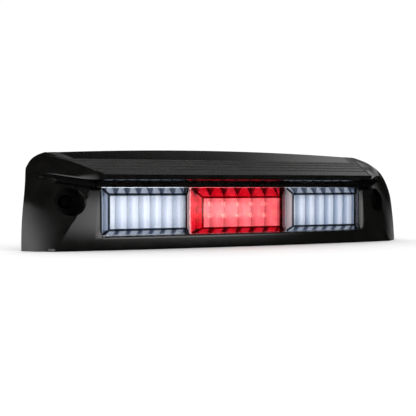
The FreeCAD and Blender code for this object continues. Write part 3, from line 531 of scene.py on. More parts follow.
# ------------------------------------------------------------------ mesh helpers
class MeshMaker:
    """Collects grids of points in millimetres and turns them into one object in metres."""

    def __init__(self) -> None:
        """Start with nothing."""
        self.mesh = bmesh.new()

    def patch(self, rows: Sequence[Sequence[Point]], flip: bool = False, material: int = 0) -> None:
        """Add a grid of quads.

        Args:
            rows: points, row by row, every row as long as the others.
            flip: turn the faces over.
            material: slot number of the faces.
        """
        grid = [[self.mesh.verts.new((p[0] * MM, p[1] * MM, p[2] * MM)) for p in row] for row in rows]
        for upper, lower in zip(grid, grid[1:]):
            for i in range(len(upper) - 1):
                corners = [upper[i], upper[i + 1], lower[i + 1], lower[i]]
                face = self.mesh.faces.new(corners[::-1] if flip else corners)
                face.material_index = material

    def both_sides(self, rows: Sequence[Sequence[Point]], flip: bool = False, material: int = 0) -> None:
        """Add a grid and its mirror image.

        Args:
            rows: points of the right-hand grid.
            flip: turn the faces over.
            material: slot number of the faces.
        """
        self.patch(rows, flip, material)
        self.patch([[(-x, y, z) for x, y, z in row] for row in rows], not flip, material)

    def weld(self, distance: float = 0.02) -> None:
        """Join points that coincide and drop faces with no area."""
        bmesh.ops.remove_doubles(self.mesh, verts=self.mesh.verts, dist=distance * MM)
        bmesh.ops.dissolve_degenerate(self.mesh, edges=self.mesh.edges, dist=distance * MM)
        loose = [v for v in self.mesh.verts if not v.link_faces]
        bmesh.ops.delete(self.mesh, geom=loose, context="VERTS")

    def make(self, name: str) -> bpy.types.Object:
        """Make the object.

        Args:
            name: the piece's name.

        Returns:
            The linked object.
        """
        self.weld()
        data = bpy.data.meshes.new(name)
        self.mesh.to_mesh(data)
        self.mesh.free()
        piece = bpy.data.objects.new(name, data)
        bpy.context.scene.collection.objects.link(piece)
        return piece


def dress(piece: bpy.types.Object, *finishes: bpy.types.Material) -> None:
    """Give a piece its materials.

    Args:
        piece: the object.
        finishes: materials for its slots, in order.
    """
    slots = piece.data.materials
    for number, finish in enumerate(finishes):
        if number < len(slots):
            slots[number] = finish
        else:
            slots.append(finish)


def shade_smooth(piece: bpy.types.Object, angle: float = 32.0) -> None:
    """Shade smooth, with edges over an angle kept sharp.

    Args:
        piece: the object.
        angle: sharpest angle in degrees that is still smooth.
    """
    for polygon in piece.data.polygons:
        polygon.use_smooth = True
    piece.data.set_sharp_from_angle(angle=math.radians(angle))


def apply_modifier(piece: bpy.types.Object, kind: str, **settings: object) -> None:
    """Add a modifier and make its result the mesh.

    Args:
        piece: the object.
        kind: the modifier's type.
        settings: its properties by name.
    """
    modifier = piece.modifiers.new(kind.lower(), kind)
    for key, value in settings.items():
        setattr(modifier, key, value)
    bpy.context.view_layer.update()
    graph = bpy.context.evaluated_depsgraph_get()
    data = bpy.data.meshes.new_from_object(piece.evaluated_get(graph))
    piece.modifiers.clear()
    piece.data = data


def place(piece: bpy.types.Object, slot: str, *nodes: str) -> None:
    """Hide the CAD nodes a finished piece stands for, hang it on the body it rides on and log it.

    Args:
        piece: the object.
        slot: the record's material slot; not used.
        nodes: CAD nodes it replaces.
    """
    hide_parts(*nodes)
    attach(piece, BODY)
    log.info("piece %s stands for %s, %d faces", piece.name, ", ".join(nodes), len(piece.data.polygons))


def steps(start: float, stop: float, count: int) -> list[float]:
    """Evenly spaced values from start to stop, count intervals."""
    return [start + (stop - start) * i / count for i in range(count + 1)]


def along(rail: Sequence[Point], share: float) -> Vector:
    """A point on a smooth curve through the rail's points.

    Args:
        rail: points, evenly spaced in share.
        share: 0 at the first point, 1 at the last.

    Returns:
        The point.
    """
    spans = len(rail) - 1
    span = min(int(share * spans), spans - 1)
    t = share * spans - span
    p = [Vector(rail[min(max(span + k, 0), spans)]) for k in (-1, 0, 1, 2)]
    return 0.5 * ((2 * p[1]) + (p[2] - p[0]) * t + (2 * p[0] - 5 * p[1] + 4 * p[2] - p[3]) * t ** 2
                  + (3 * p[1] - p[0] - 3 * p[2] + p[3]) * t ** 3)


# ------------------------------------------------------------------ housing
@dataclass
class HoodedHousing:
    """The black shell: face, cheeks, hood with its ribs, recess under the hood, screw pockets."""

    half_width: float = 200.0
    side_radius: float = 325.0
    bow_centre: float = 1482.0
    # cab side: lean of the panel, bend's radius, the heights where it begins and ends, roof slope
    seat: tuple[float, float, float, float, float] = (0.065, 51.7, -1.3, 38.0, 0.888)
    bottom: float = -41.9
    face_y: float = -36.0
    face_top: float = 9.8
    crown: float = 0.9
    window: tuple[float, float, float] = (136.0, -29.8, 12.7)
    window_back: float = -26.0
    crease_half: float = 177.0
    crease_lean: float = 0.6
    brow_y: float = -33.0
    brow_top: float = 16.2
    brow_lean: float = 0.8
    lip_lean: float = 1.1
    lip_y: float = -50.0
    lip_bottom: float = 19.6
    lip_top: float = 24.1
    slope: float = 0.29
    groove_middles: tuple[float, ...] = (-35.0, -25.5, -16.0, -7.5)
    groove_half: float = 1.3
    groove_depth: float = 0.8
    panel_start: float = -1.5
    panel_drop: float = 0.9
    panel_lift: float = 0.03
    edge_plan: tuple[float, float, float, float] = (139.4, -43.6, 168.2, 30.5)
    corner_x: tuple[float, float, float] = (139.9, 142.5, 143.5)
    wall: float = 2.3
    edge_round: float = 0.7
    round_angle: float = 48.0
    pocket: tuple[float, float, float] = (162.0, 11.75, -6.0)
    pocket_facets: int = 72
    plug_sink: float = 1.3
    plug_middle: float = -14.0
    tube_wall: float = 2.4
    sleeve_hole: float = 4.5
    # distances inboard of the hood's edge where the bead on it begins, peaks and ends
    bead: tuple[float, ...] = (0.0, 0.8, 1.8, 2.8)
    bead_height: float = 0.55
    margin_columns: int = 2
    edge_turn: float = 2.8
    edge_sink: float = 2.2
    # how far past the window's edge the rows of its sill and head are drawn
    past_window: float = 9.0
    centre_columns: int = 34
    side_columns: int = 6
    # bend of the band below the hood edge: how far its knee falls and leans, and the knee at the rim
    knee_fall: float = 0.17
    knee_lean: float = 0.22
    rear_knee: Point = (187.7, 24.6, 40.0)
    cheek_bulge: float = 0.9
    band_rows: int = 14
    rail_columns: int = 44
    gutter_half: float = 3.6
    gutter_depth: float = 5.6
    # shares of the gutter's length: where it runs out, how far the corner reaches, where the painted shade
    # ends
    gutter_fade: tuple[float, float] = (0.62, 0.86)
    gutter_blend: float = 0.25
    gutter_shade: float = 0.64
    # middle line of the gutter that carries the recess round onto the cheek, front to rear
    gutter_line: tuple[Point, ...] = ((144.0, -30.5, 14.8), (153.0, -24.0, 16.6), (165.0, -13.0, 18.9),
                                      (177.0, -2.5, 21.4), (192.7, 10.0, 26.0))

    def bow(self, x: float, y: float) -> float:
        """Depth at x of a bowed surface that has depth y in the middle."""
        return self.bow_centre - math.sqrt((self.bow_centre - y) ** 2 - x * x)

    def middle_depth(self, x: float, y: float) -> float:
        """Depth in the middle of the bowed surface that passes through x, y."""
        return self.bow_centre - math.hypot(x, self.bow_centre - y)

    def seat_y(self, z: float) -> float:
        """Depth of the cab side of the shell at height z."""
        lean, radius, start, end, roof_slope = self.seat
        if z <= start:
            return (z - start) * lean
        angle = math.atan(lean)
        centre_y, centre_z = radius * math.cos(angle), start - radius * math.sin(angle)
        on_arc = min(z, end)
        return centre_y - math.sqrt(radius ** 2 - (on_arc - centre_z) ** 2) + (z - on_arc) / roof_slope

    def crease_x(self, z: float) -> float:
        """Half width of the front face at height z."""
        return self.crease_half - self.crease_lean * (z - self.bottom)

    def rim_x(self, z: float) -> float:
        """Half width at the cab side at height z."""
        return self.half_width - (z - self.bottom) ** 2 / (2 * self.side_radius)

    def face_at(self, z: float) -> float:
        """Depth of the slightly crowned face in the middle, at height z."""
        middle, half = (self.bottom + self.window[2]) / 2, (self.window[2] - self.bottom) / 2
        return self.face_y + self.crown * ((z - middle) / half) ** 2

    def hood_z(self, y: float) -> float:
        """Height of the plain hood at a middle depth."""
        return self.lip_top + self.slope * (y - self.lip_y)

    def hood_relief(self, y: float) -> float:
        """Height that the grooves and the sunk rear panel add at a middle depth."""
        relief = 0.0
        for middle in self.groove_middles:
            reach = abs(y - middle) / self.groove_half
            if reach < 1:
                relief -= self.groove_depth * (1 - reach)
        if y > self.panel_start:
            past = y - self.panel_start
            relief += self.panel_lift * past - self.panel_drop * min(1.0, past / 0.8)
        return relief

    def row(self, y: float, z: float, limit: float) -> list[Point]:
        """One row of points from the middle to a side limit.

        Args:
            y: middle depth of the row.
            z: height.
            limit: x of the last point.

        Returns:
            The points.
        """
        half, last = self.window[0], limit - self.bead[-1]
        turn = min(self.edge_turn, (last - half) / 2)
        columns = steps(0.0, half, self.centre_columns) + [half + 0.3 * turn]
        columns += steps(half + turn, last, self.side_columns)
        columns += [limit - offset for offset in self.bead[-2::-1]]
        return [(x, self.bow(x, y), z) for x in columns]

    def face_row(self, z: float) -> list[Point]:
        """The face beside the window at one height; its inner edge turns in towards the lens."""
        row = self.side_row(self.face_at(z), z, self.crease_x(z))
        sink = self.edge_sink * min(1.0, max(0.0, (z - self.window[1]) / 3.0))
        (x, y, _), (x_next, y_next, _) = row[:2]
        return [(x, y + sink, z), (x_next, y_next + 0.35 * sink, z)] + row[2:]

    def side_row(self, y: float, z: float, limit: float) -> list[Point]:
        """The part of a row outboard of the window."""
        return self.row(y, z, limit)[self.centre_columns:]

    def hood_edge(self, share: float) -> Vector:
        """A point of the edge between hood and side, front to rear."""
        x0, y0, x1, y1 = self.edge_plan
        x, y = x0 + (x1 - x0) * share, y0 + (y1 - y0) * share
        depth = self.middle_depth(x, y)
        return Vector((x, y, self.lip_top + self.slope * (depth - self.lip_y)))

    def gutter(self, share: float) -> tuple[Vector, Vector, Vector, Vector]:
        """The gutter's section at a share of its line.

        Args:
            share: 0 at the front corner, 1 at the rim.

        Returns:
            Upper edge, upper inner point, lower inner point and lower edge.
        """
        middle = along(self.gutter_line, share)
        fade_start, fade_end = self.gutter_fade
        fade = max(0.0, 1 - max(0.0, (share - fade_start) / (fade_end - fade_start)) ** 2) ** 0.5
        start = max(0.0, 1 - share / self.gutter_blend)
        half, depth = self.gutter_half * fade, self.gutter_depth * fade
        inward = Vector((-0.72, 0.69, 0.0))
        upper = middle + Vector((0.0, 0.0, half))
        lower = middle - Vector((0.0, 0.0, half))
        upper_in = upper + inward * depth * 0.55 - Vector((0, 0, 0.25 * half))
        lower_in = lower + inward * depth + Vector((0, 0, 0.35 * half))
        blend = start * start * (3 - 2 * start)
        corner = self.recess_corner()
        return tuple(point.lerp(goal, blend)
                     for point, goal in zip((upper, upper_in, lower_in, lower), corner))

    def recess_corner(self) -> tuple[Vector, Vector, Vector, Vector]:
        """The recess under the hood at its side end: lip, brow top, brow bottom, face top."""
        lip_x, brow_x, low_x = self.corner_x
        points = ((lip_x, self.lip_y + self.lip_lean, self.lip_bottom),
                  (brow_x, self.brow_y, self.brow_top),
                  (low_x, self.brow_y + self.brow_lean, self.window[2]),
                  (self.crease_x(self.face_top), self.face_at(self.face_top), self.face_top))
        return tuple(Vector((x, self.bow(x, y), z)) for x, y, z in points)

    def band_point(self, share: float, across: float) -> Vector:
        """A point of the rounded band between the hood edge and the gutter.

        Args:
            share: 0 at the front corner, 1 at the rim.
            across: 0 on the hood edge, 1 on the gutter's upper edge.

        Returns:
            The point.
        """
        top, bottom = self.hood_edge(share), self.gutter(share)[0]
        knee = Vector((bottom.x, bottom.y, top.z - self.knee_fall * (bottom.x - top.x)))
        knee = top.lerp(bottom, 0.35).lerp(knee, min(1.0, share * 5) ** 0.5)
        lean = self.knee_lean * (1 - share)
        knee.x += lean * (top.x - bottom.x)
        knee.y += lean * (top.y - bottom.y)
        knee = knee.lerp(Vector(self.rear_knee), share ** 6)
        point = top * (1 - across) ** 2 + knee * 2 * across * (1 - across) + bottom * across ** 2
        if share > 0.999:
            point.y = self.seat_y(point.z)
        return point

    def skin(self) -> MeshMaker:
        """Build the outer skin."""
        maker = MeshMaker()
        half, low, high = self.window
        rise = steps(self.bottom, low, 5) + steps(low, self.face_top, 14)[1:]
        chin = [self.row(self.face_at(z), z, self.crease_x(z)) for z in rise[:6]]
        maker.both_sides([r[:self.centre_columns + 1] for r in chin])
        maker.both_sides([self.face_row(z) for z in rise])
        self.bottom_wall(maker, chin[0])
        self.recess(maker)
        self.hood(maker)
        self.cheek(maker, rise)
        self.band(maker)
        self.window_returns(maker, rise)
        return maker

    def bottom_wall(self, maker: MeshMaker, front: list[Point]) -> None:
        """The flat underside of the shell.

        Args:
            maker: where the faces go.
            front: the lowest row of the face.
        """
        back_y = self.seat_y(self.bottom)
        spread = self.rim_x(self.bottom) - self.window[0]
        rows = []
        for share in steps(0.0, 1.0, 8):
            row = []
            for i, (x, y, z) in enumerate(front):
                outboard = max(0.0, (x - self.window[0]) / (front[-1][0] - self.window[0]))
                x_back = x if i <= self.centre_columns else self.window[0] + spread * outboard
                row.append((x + (x_back - x) * share, y + (back_y - y) * share, z))
            rows.append(row)
        maker.both_sides(rows, flip=True)

    def recess(self, maker: MeshMaker) -> None:
        """Brow, underside of the hood, and the gutter that carries them round the corner.

        Args:
            maker: where the faces go.
        """
        lip, brow_top, brow_low, _ = self.recess_corner()
        low_y = self.brow_y + self.brow_lean
        brow = [self.row(low_y, self.window[2], brow_low.x),
                self.row(self.brow_y, self.brow_top, brow_top.x)]
        maker.both_sides(brow)
        maker.both_sides([self.face_row(self.face_top),
                          self.side_row(low_y, self.window[2], brow_low.x)])
        under = []
        for share in steps(0.0, 1.0, 6):
            limit = brow_top.x + (lip.x - brow_top.x) * share
            under.append(self.row(self.brow_y + (self.lip_y + self.lip_lean - self.brow_y) * share,
                                  self.brow_top + (self.lip_bottom - self.brow_top) * share, limit))
        maker.both_sides(under)
        shares = self.rail_shares()
        sections = [self.gutter(share) for share in shares]
        turn = sum(share < self.gutter_shade for share in shares)
        for low, high, count in ((3, 2, 1), (2, 1, 1), (1, 0, 6)):
            rows = [[tuple(s[low].lerp(s[high], t)) for s in sections] for t in steps(0.0, 1.0, count)]
            # painted shade on the inner faces of the gutter's front part
            maker.both_sides([row[:turn + 1] for row in rows], material=HousingSlot.SHADE.value)
            maker.both_sides([row[turn:] for row in rows])

    def hood(self, maker: MeshMaker) -> None:
        """Lip face and hood top with its grooves.

        Args:
            maker: where the faces go.
        """
        rows = []
        for across in steps(1.0, 0.0, self.band_rows):
            point = self.band_point(0.0, across)
            rows.append(self.row(self.middle_depth(point.x, point.y), point.z, point.x))
        maker.both_sides(rows)
        maker.both_sides([self.hood_row(share) for share in self.rail_shares()])

    def rail_shares(self) -> list[float]:
        """Shares of the side rails at which every patch has a column, the hood's grooves among them."""
        shares = steps(0.0, 1.0, self.rail_columns)
        depths = [self.panel_start, self.panel_start + 0.8]
        for middle in self.groove_middles:
            depths += [middle - self.groove_half, middle, middle + self.groove_half]
        for depth in depths:
            low, high = 0.0, 1.0
            for _ in range(30):
                half = (low + high) / 2
                point = self.hood_edge(half)
                low, high = (half, high) if self.middle_depth(point.x, point.y) < depth else (low, half)
            shares = [s for s in shares if abs(s - low) > 0.006 or s in (0.0, 1.0)] + [low]
        return sorted(shares)

    def hood_row(self, share: float) -> list[Point]:
        """One row of the hood's top, as deep as the hood edge is at a share of its length.

        Args:
            share: 0 at the lip, 1 at the rear.

        Returns:
            The points, from the middle to the edge.
        """
        edge = self.hood_edge(share)
        depth = self.middle_depth(edge.x, edge.y)
        points = self.row(depth, self.hood_z(depth), edge.x)
        inner = len(points) - len(self.bead) - self.margin_columns
        swell = min(1.0, share / 0.06) * (1 - share ** 8)
        heights = (0.0, self.bead_height, self.bead_height, 0.0)
        row = []
        for number, (x, y, z) in enumerate(points):
            reach = depth
            if share > 0.999:
                for _ in range(12):
                    reach = self.middle_depth(x, self.seat_y(self.hood_z(reach)))
                y, z = self.seat_y(self.hood_z(reach)), self.hood_z(reach)
            if number <= inner:
                z += self.hood_relief(reach)
            bead = number - (len(points) - len(self.bead))
            if bead >= 0:
                z += swell * heights[bead]
            row.append((x, y, z))
        return row

    def cheek(self, maker: MeshMaker, rise: list[float]) -> None:
        """The slanted cheek between the face's crease and the rim.

        Args:
            maker: where the faces go.
            rise: heights of the face's rows.
        """
        shares = self.rail_shares()
        top_rear = self.gutter_line[-1][2]
        rows = []
        for z in rise:
            up = (z - self.bottom) / (self.face_top - self.bottom)
            rear_z = self.bottom + up * (top_rear - self.bottom)
            x = self.crease_x(z)
            front = Vector((x, self.bow(x, self.face_at(z)), z))
            rear = Vector((self.rim_x(rear_z), self.seat_y(rear_z), rear_z))
            row = []
            for share in shares:
                point = front.lerp(rear, share)
                point += (Vector((0.7, -0.7, 0)) * self.cheek_bulge
                          * math.sin(math.pi * share) * (1 - up) ** 0.5)
                point += (self.gutter(share)[3] - self.top_ruling(share)) * up ** 3
                row.append(tuple(point))
            rows.append(row)
        maker.both_sides(rows)

    def top_ruling(self, share: float) -> Vector:
        """The straight line along the cheek's top, before it follows the gutter."""
        x, z = self.crease_x(self.face_top), self.face_top
        front = Vector((x, self.bow(x, self.face_at(z)), z))
        rear_z = self.gutter_line[-1][2]
        return front.lerp(Vector((self.rim_x(rear_z), self.seat_y(rear_z), rear_z)), share)

    def band(self, maker: MeshMaker) -> None:
        """The rounded band between gutter and hood edge.

        Args:
            maker: where the faces go.
        """
        shares = self.rail_shares()
        rows = [[tuple(self.band_point(share, across)) for share in shares]
                for across in steps(1.0, 0.0, self.band_rows)]
        maker.both_sides(rows)

    def window_returns(self, maker: MeshMaker, rise: list[float]) -> None:
        """Walls from the window's edge back to the lens flange.

        Args:
            maker: where the faces go.
            rise: heights of the face's rows.
        """
        half, low, high = self.window
        count = self.centre_columns + 1
        reach = half + self.past_window
        sill = self.row(self.face_at(low), low, reach)[:count]
        maker.both_sides([sill, [(x, self.window_back, z) for x, _, z in sill]])
        head = self.row(self.brow_y + self.brow_lean, high, reach)[:count]
        maker.both_sides([[(x, self.window_back, z) for x, _, z in head], head])
        jamb = [self.face_row(z)[0] for z in rise[5:]]
        jamb.append((half, self.bow(half, self.brow_y + self.brow_lean), high))
        deep = [(half, self.window_back, z) for _, _, z in jamb]
        maker.both_sides([jamb, deep], flip=True)

    def plug_rim(self, side: Side) -> list[Point]:
        """The front edge of a screw pocket's tube, inside the wall of face and cheek."""
        centre, radius, _ = self.pocket
        outer = radius + self.tube_wall
        rim = []
        for number in range(self.pocket_facets):
            angle = 2 * math.pi * number / self.pocket_facets
            x, z = centre + outer * math.cos(angle), outer * math.sin(angle)
            crease = self.crease_x(z)
            face = self.bow(min(x, crease), self.face_at(z))
            slant = max(0.0, x - crease) / max(1.0, self.rim_x(z) - crease)
            rim.append((side.value * x, face + slant * (self.seat_y(z) - face) + self.plug_sink, z))
        return rim + rim[:1]

    def plugs(self) -> bpy.types.Object:
        """Solid plugs where the two screw pockets stand, from inside the wall to the cab plane."""
        maker = MeshMaker()
        for side in Side:
            rim = self.plug_rim(side)
            foot = [(x, 0.0, z) for x, _, z in rim]
            x = side.value * self.pocket[0]
            maker.patch([rim, foot])
            maker.patch([rim, [(x, self.plug_middle, 0.0)] * len(rim)])
            maker.patch([foot, [(x, 0.0, 0.0)] * len(foot)], flip=True)
        plugs = maker.make("plugs")
        fix_normals(plugs)
        return plugs

    def bores(self) -> bpy.types.Object:
        """The two screw pockets with their sleeve holes, as one cutting tool."""
        centre, radius, floor = self.pocket
        profile = [(0.0, -80.0), (radius, -80.0), (radius, floor), (self.sleeve_hole, floor),
                   (self.sleeve_hole, 20.0), (0.0, 20.0)]
        maker = MeshMaker()
        for side in Side:
            turn_into(maker, profile, side.value * centre, 0.0, self.pocket_facets)
        bores = maker.make("bores")
        fix_normals(bores)
        return bores

    def in_recess(self, centre: Vector) -> bool:
        """True for the shaded end of the recess, outboard of the lens and round the gutter's start."""
        out, z = abs(centre.x), centre.z
        depth = self.middle_depth(out, centre.y)
        corner = out > self.window[0] + 1.5 and self.face_top + 0.4 < z < self.lip_bottom - 0.3
        brow = out > self.window[0] - 12 and self.window[2] + 0.1 < z < self.brow_top + 0.4
        return (corner or brow) and depth > self.lip_y + 3.0 and out < 158.0

    def on_ribs(self, centre: Vector, normal: Vector) -> bool:
        """True for the satin part of the hood's top: the ribs and the margin beside the rear panel."""
        depth = self.middle_depth(centre.x, centre.y)
        above = abs(centre.z - self.hood_z(depth)) < 1.3 and normal.z > 0.5
        x0, y0, x1, y1 = self.edge_plan
        edge = x0 + (x1 - x0) / (y1 - y0) * (centre.y - y0)
        margin = edge - abs(centre.x)
        return above and -0.2 < margin and (depth < self.panel_start + 0.4 or margin < 9.5)

    def build(self) -> bpy.types.Object:
        """Build, hollow, pierce and dress the housing."""
        piece = self.skin().make("hooded_housing")
        fix_normals(piece)
        apply_modifier(piece, "BEVEL", width=self.edge_round * MM, segments=2, limit_method="ANGLE",
                       angle_limit=math.radians(self.round_angle), use_clamp_overlap=True)
        apply_modifier(piece, "SOLIDIFY", thickness=self.wall * MM, offset=-1.0, use_even_offset=False)
        for vertex in piece.data.vertices:
            vertex.co.z = max(vertex.co.z, self.bottom * MM)
        combine(piece, self.plugs(), "UNION")
        combine(piece, self.bores(), "DIFFERENCE")
        centre, radius, floor = self.pocket
        for polygon in piece.data.polygons:
            out = abs(abs(polygon.center.x) / MM - centre)
            near = math.hypot(out, polygon.center.z / MM) < radius + 0.1
            on_floor = near and abs(polygon.center.y / MM - floor) < 0.3
            # painted shade on the pocket floors and the recess end
            if on_floor or self.in_recess(polygon.center / MM):
                polygon.material_index = HousingSlot.SHADE.value
            if self.on_ribs(polygon.center / MM, polygon.normal):
                polygon.material_index = HousingSlot.SATIN.value
        shade_smooth(piece, 28.0)
        dress(piece, GLOSS_BLACK.material(), SHADE_BLACK.material(), SATIN_BLACK.material())
        place(piece, "gloss_black", "outer_housing")
        return piece


def fix_normals(piece: bpy.types.Object) -> None:
    """Turn all faces of a piece the same way out."""
    mesh = bmesh.new()
    mesh.from_mesh(piece.data)
    bmesh.ops.recalc_face_normals(mesh, faces=mesh.faces)
    mesh.to_mesh(piece.data)
    mesh.free()


def turn_into(maker: MeshMaker, profile: Sequence[tuple[float, float]], x: float, z: float,
              count: int) -> None:
    """Add a form turned about an axis along Y.

    Args:
        maker: where the faces go.
        profile: radius and depth pairs, from axis to axis.
        x: axis position.
        z: axis position.
        count: segments round.
    """
    rows = []
    for number in range(count + 1):
        angle = 2 * math.pi * (number % count) / count
        rows.append([(x + r * math.cos(angle), y, z + r * math.sin(angle)) for r, y in profile])
    maker.patch(rows)


def combine(piece: bpy.types.Object, tool: bpy.types.Object, operation: str) -> None:
    """Join or cut a piece with a tool, which is then removed.

    Args:
        piece: the object that changes.
        tool: the other solid.
        operation: UNION or DIFFERENCE.
    """
    apply_modifier(piece, "BOOLEAN", object=tool, operation=operation, solver="EXACT",
                   use_self=True)
    bpy.data.objects.remove(tool)


@dataclass
class MountingSleeves:
    """The two sleeves of the mounting holes, each with a pan-head screw seated on it."""

    spacing: float = 162.0
    outer: float = 4.5
    bore: float = 3.1
    front: float = -6.0
    head: float = 6.2
    head_height: float = 3.4
    shank: float = 2.9
    recess: float = 2.6
    recess_depth: float = 1.8
    gap: float = 0.02

    def build(self) -> None:
        """Build and place both sleeves with their screws."""
        maker = MeshMaker()
        top = self.front - self.head_height
        tube = [(self.bore, self.front), (self.outer, self.front), (self.outer, 0.0), (self.bore, 0.0),
                (self.bore, self.front)]
        screw = [(0.0, top + self.recess_depth), (self.recess * 0.6, top + self.recess_depth),
                 (self.recess, top + 0.1), (self.recess + 0.4, top), (self.head - 1.6, top + 0.5),
                 (self.head - 0.4, top + 1.6), (self.head, self.front - 0.6),
                 (self.head - 0.2, self.front - self.gap), (self.shank, self.front - self.gap),
                 (self.shank, -0.6), (self.shank - 0.6, 0.0), (0.0, 0.0)]
        for side in Side:
            for profile in (tube, screw):
                turn_into(maker, profile, side.value * self.spacing, 0.0, 48)
        piece = maker.make("sleeves_and_screws")
        fix_normals(piece)
        shade_smooth(piece, 40.0)
        dress(piece, CAD_FINISHES["black_zinc"].material())
        place(piece, "zinc_steel", "mounting_sleeves")


# ------------------------------------------------------------------ lens
@dataclass
class DomeForm:
    """One four-sided dome of the lens: its base on the flange and its flat front."""

    base_x: tuple[float, float]
    front_x: tuple[float, float]
    front_y: tuple[float, float]
    front_top: float
    base_y: float = -26.0
    base_z: tuple[float, float] = (-29.4, 12.3)
    front_bottom: float = -24.6
    chamfer: float = 1.15
    wall: float = 2.0
    # the cargo domes' sides that face the stop dome lie between these distances from the middle
    pale_from: float = 50.0
    pale_to: float = 56.0

    def loop(self, inset: float, level: float, sink: float) -> list[Point]:
        """The four corners of the dome at a level.

        Args:
            inset: how far each side moves in.
            level: 0 on the flange, 1 at the front.
            sink: how far the loop moves back.

        Returns:
            Corner points, anticlockwise seen from the front.
        """
        base = (*self.base_x, *self.base_z, self.base_y, self.base_y)
        front = (*self.front_x, self.front_bottom, self.front_top, *self.front_y)
        left, right, low, high, y_left, y_right = (a + (b - a) * level for a, b in zip(base, front))
        y_left, y_right = y_left + sink, y_right + sink
        return [(left + inset, y_left, low + inset), (right - inset, y_right, low + inset),
                (right - inset, y_right, high - inset), (left + inset, y_left, high - inset)]

    def build_into(self, mesh: bmesh.types.BMesh) -> None:
        """Add the dome's outer and inner skins to a mesh, closed at the base.

        Args:
            mesh: the mesh that grows.
        """
        depth = self.wall
        skins = (((0.0, 0.0, 0.0), (0.0, 1.0, 0.0)),
                 ((0.7 * depth, 0.0, depth + 0.1), (0.5 * depth, 1.0, depth)))
        outer, inner = ([[mesh.verts.new(Vector(p) * MM) for p in self.loop(*level)] for level in skin]
                        for skin in skins)
        for k in range(4):
            n = (k + 1) % 4
            mesh.faces.new((outer[0][k], outer[0][n], outer[1][n], outer[1][k]))
            mesh.faces.new((inner[0][n], inner[0][k], inner[1][k], inner[1][n]))
            mesh.faces.new((outer[0][n], outer[0][k], inner[0][k], inner[0][n]))
        mesh.faces.new(outer[1])
        mesh.faces.new(inner[1][::-1])
        edges = [e for e in mesh.edges if all(v in outer[1] for v in e.verts)]
        edges += [e for e in mesh.edges if any(v in outer[0] for v in e.verts)
                  and any(v in outer[1] for v in e.verts)]
        for face in mesh.faces:
            if any(v in outer[0] or v in inner[0] for v in face.verts):
                face.material_index = DomeSlot.BEVEL.value
                if self.pale_from < abs(face.calc_center_median().x / MM) < self.pale_to:
                    face.material_index = DomeSlot.INNER_SIDE.value
        made = bmesh.ops.bevel(mesh, geom=edges, offset=self.chamfer * MM, segments=2, profile=0.5,
                               affect="EDGES", clamp_overlap=True)
        # the chamfer faces get the edge slot's painted shade
        for face in made["faces"]:
            face.material_index = DomeSlot.EDGE.value


@dataclass
class LampLens:
    """The clear moulding with the two cargo domes, and the red stop dome welded into it."""

    flange_half: float = 137.0
    flange_z: tuple[float, float] = (-33.6, 14.5)
    flange_y: tuple[float, float] = (-26.0, -24.0)
    plate_edge: float = 50.8
    base_z: tuple[float, float] = (-29.4, 12.3)
    stop_plate_z: tuple[float, float] = (-31.4, 14.0)

    def domes(self) -> dict[str, DomeForm]:
        """The three domes by name."""
        return {
            "left": DomeForm((-135.4, -51.8), (-130.0, -56.3), (-28.8, -31.3), 6.5),
            "stop": DomeForm((-49.8, 49.8), (-42.0, 42.0), (-34.4, -34.4), 3.7),
            "right": DomeForm((51.8, 135.4), (56.3, 130.0), (-31.3, -28.8), 6.5),
        }

    def plate(self, mesh: bmesh.types.BMesh, x: tuple[float, float], opening: tuple[float, float],
              z: tuple[float, float]) -> None:
        """A flange plate with a rectangular opening, as nine cells less the middle one.

        Args:
            mesh: the mesh that grows.
            x: left and right edge.
            opening: x limits of the opening.
            z: lowest and highest level of the plate.
        """
        cuts_x = [x[0], *opening, x[1]]
        cuts_z = [z[0], *self.base_z, z[1]]
        front, back = self.flange_y
        maker = MeshMaker()
        maker.mesh.free()
        maker.mesh = mesh
        for column, (a, b) in enumerate(zip(cuts_x, cuts_x[1:])):
            for level, (low, high) in enumerate(zip(cuts_z, cuts_z[1:])):
                if (column, level) == (1, 1):
                    continue
                maker.patch([[(a, front, low), (b, front, low)], [(a, front, high), (b, front, high)]])
                maker.patch([[(b, back, low), (a, back, low)], [(b, back, high), (a, back, high)]])
                for dx, dz, p, q in ((-1, 0, (a, high), (a, low)), (1, 0, (b, low), (b, high)),
                                     (0, -1, (a, low), (b, low)), (0, 1, (b, high), (a, high))):
                    beside = (column + dx, level + dz)
                    if beside == (1, 1) or not all(0 <= place < 3 for place in beside):
                        maker.patch([[(p[0], back, p[1]), (q[0], back, q[1])],
                                     [(p[0], front, p[1]), (q[0], front, q[1])]])

    def build(self) -> None:
        """Build the clear lens and the red dome."""
        domes = self.domes()
        clear = MeshMaker()
        for key in ("left", "right"):
            domes[key].build_into(clear.mesh)
        for side in Side:
            span = sorted((side.value * self.plate_edge, side.value * self.flange_half))
            self.plate(clear.mesh, tuple(span), domes[side.name.lower()].base_x, self.flange_z)
        lens = clear.make("clear_lens")
        shade_smooth(lens, 20.0)
        dress(lens, CLEAR_LENS.material(), CLEAR_EDGE_PAINTED_SHADE.material(), CLEAR_BEVEL.material(),
              PALE_SIDE.material())
        place(lens, "clear_lens", "outer_lens")
        red = MeshMaker()
        domes["stop"].build_into(red.mesh)
        self.plate(red.mesh, (-self.plate_edge, self.plate_edge), domes["stop"].base_x, self.stop_plate_z)
        dome = red.make("red_dome")
        shade_smooth(dome, 20.0)
        dress(dome, RED_LENS_PAINTED_REFLECTION.material(), RED_EDGE_PAINTED_SHADE.material(), RED_BEVEL.material())
        place(dome, "red_lens", "stop_lens")


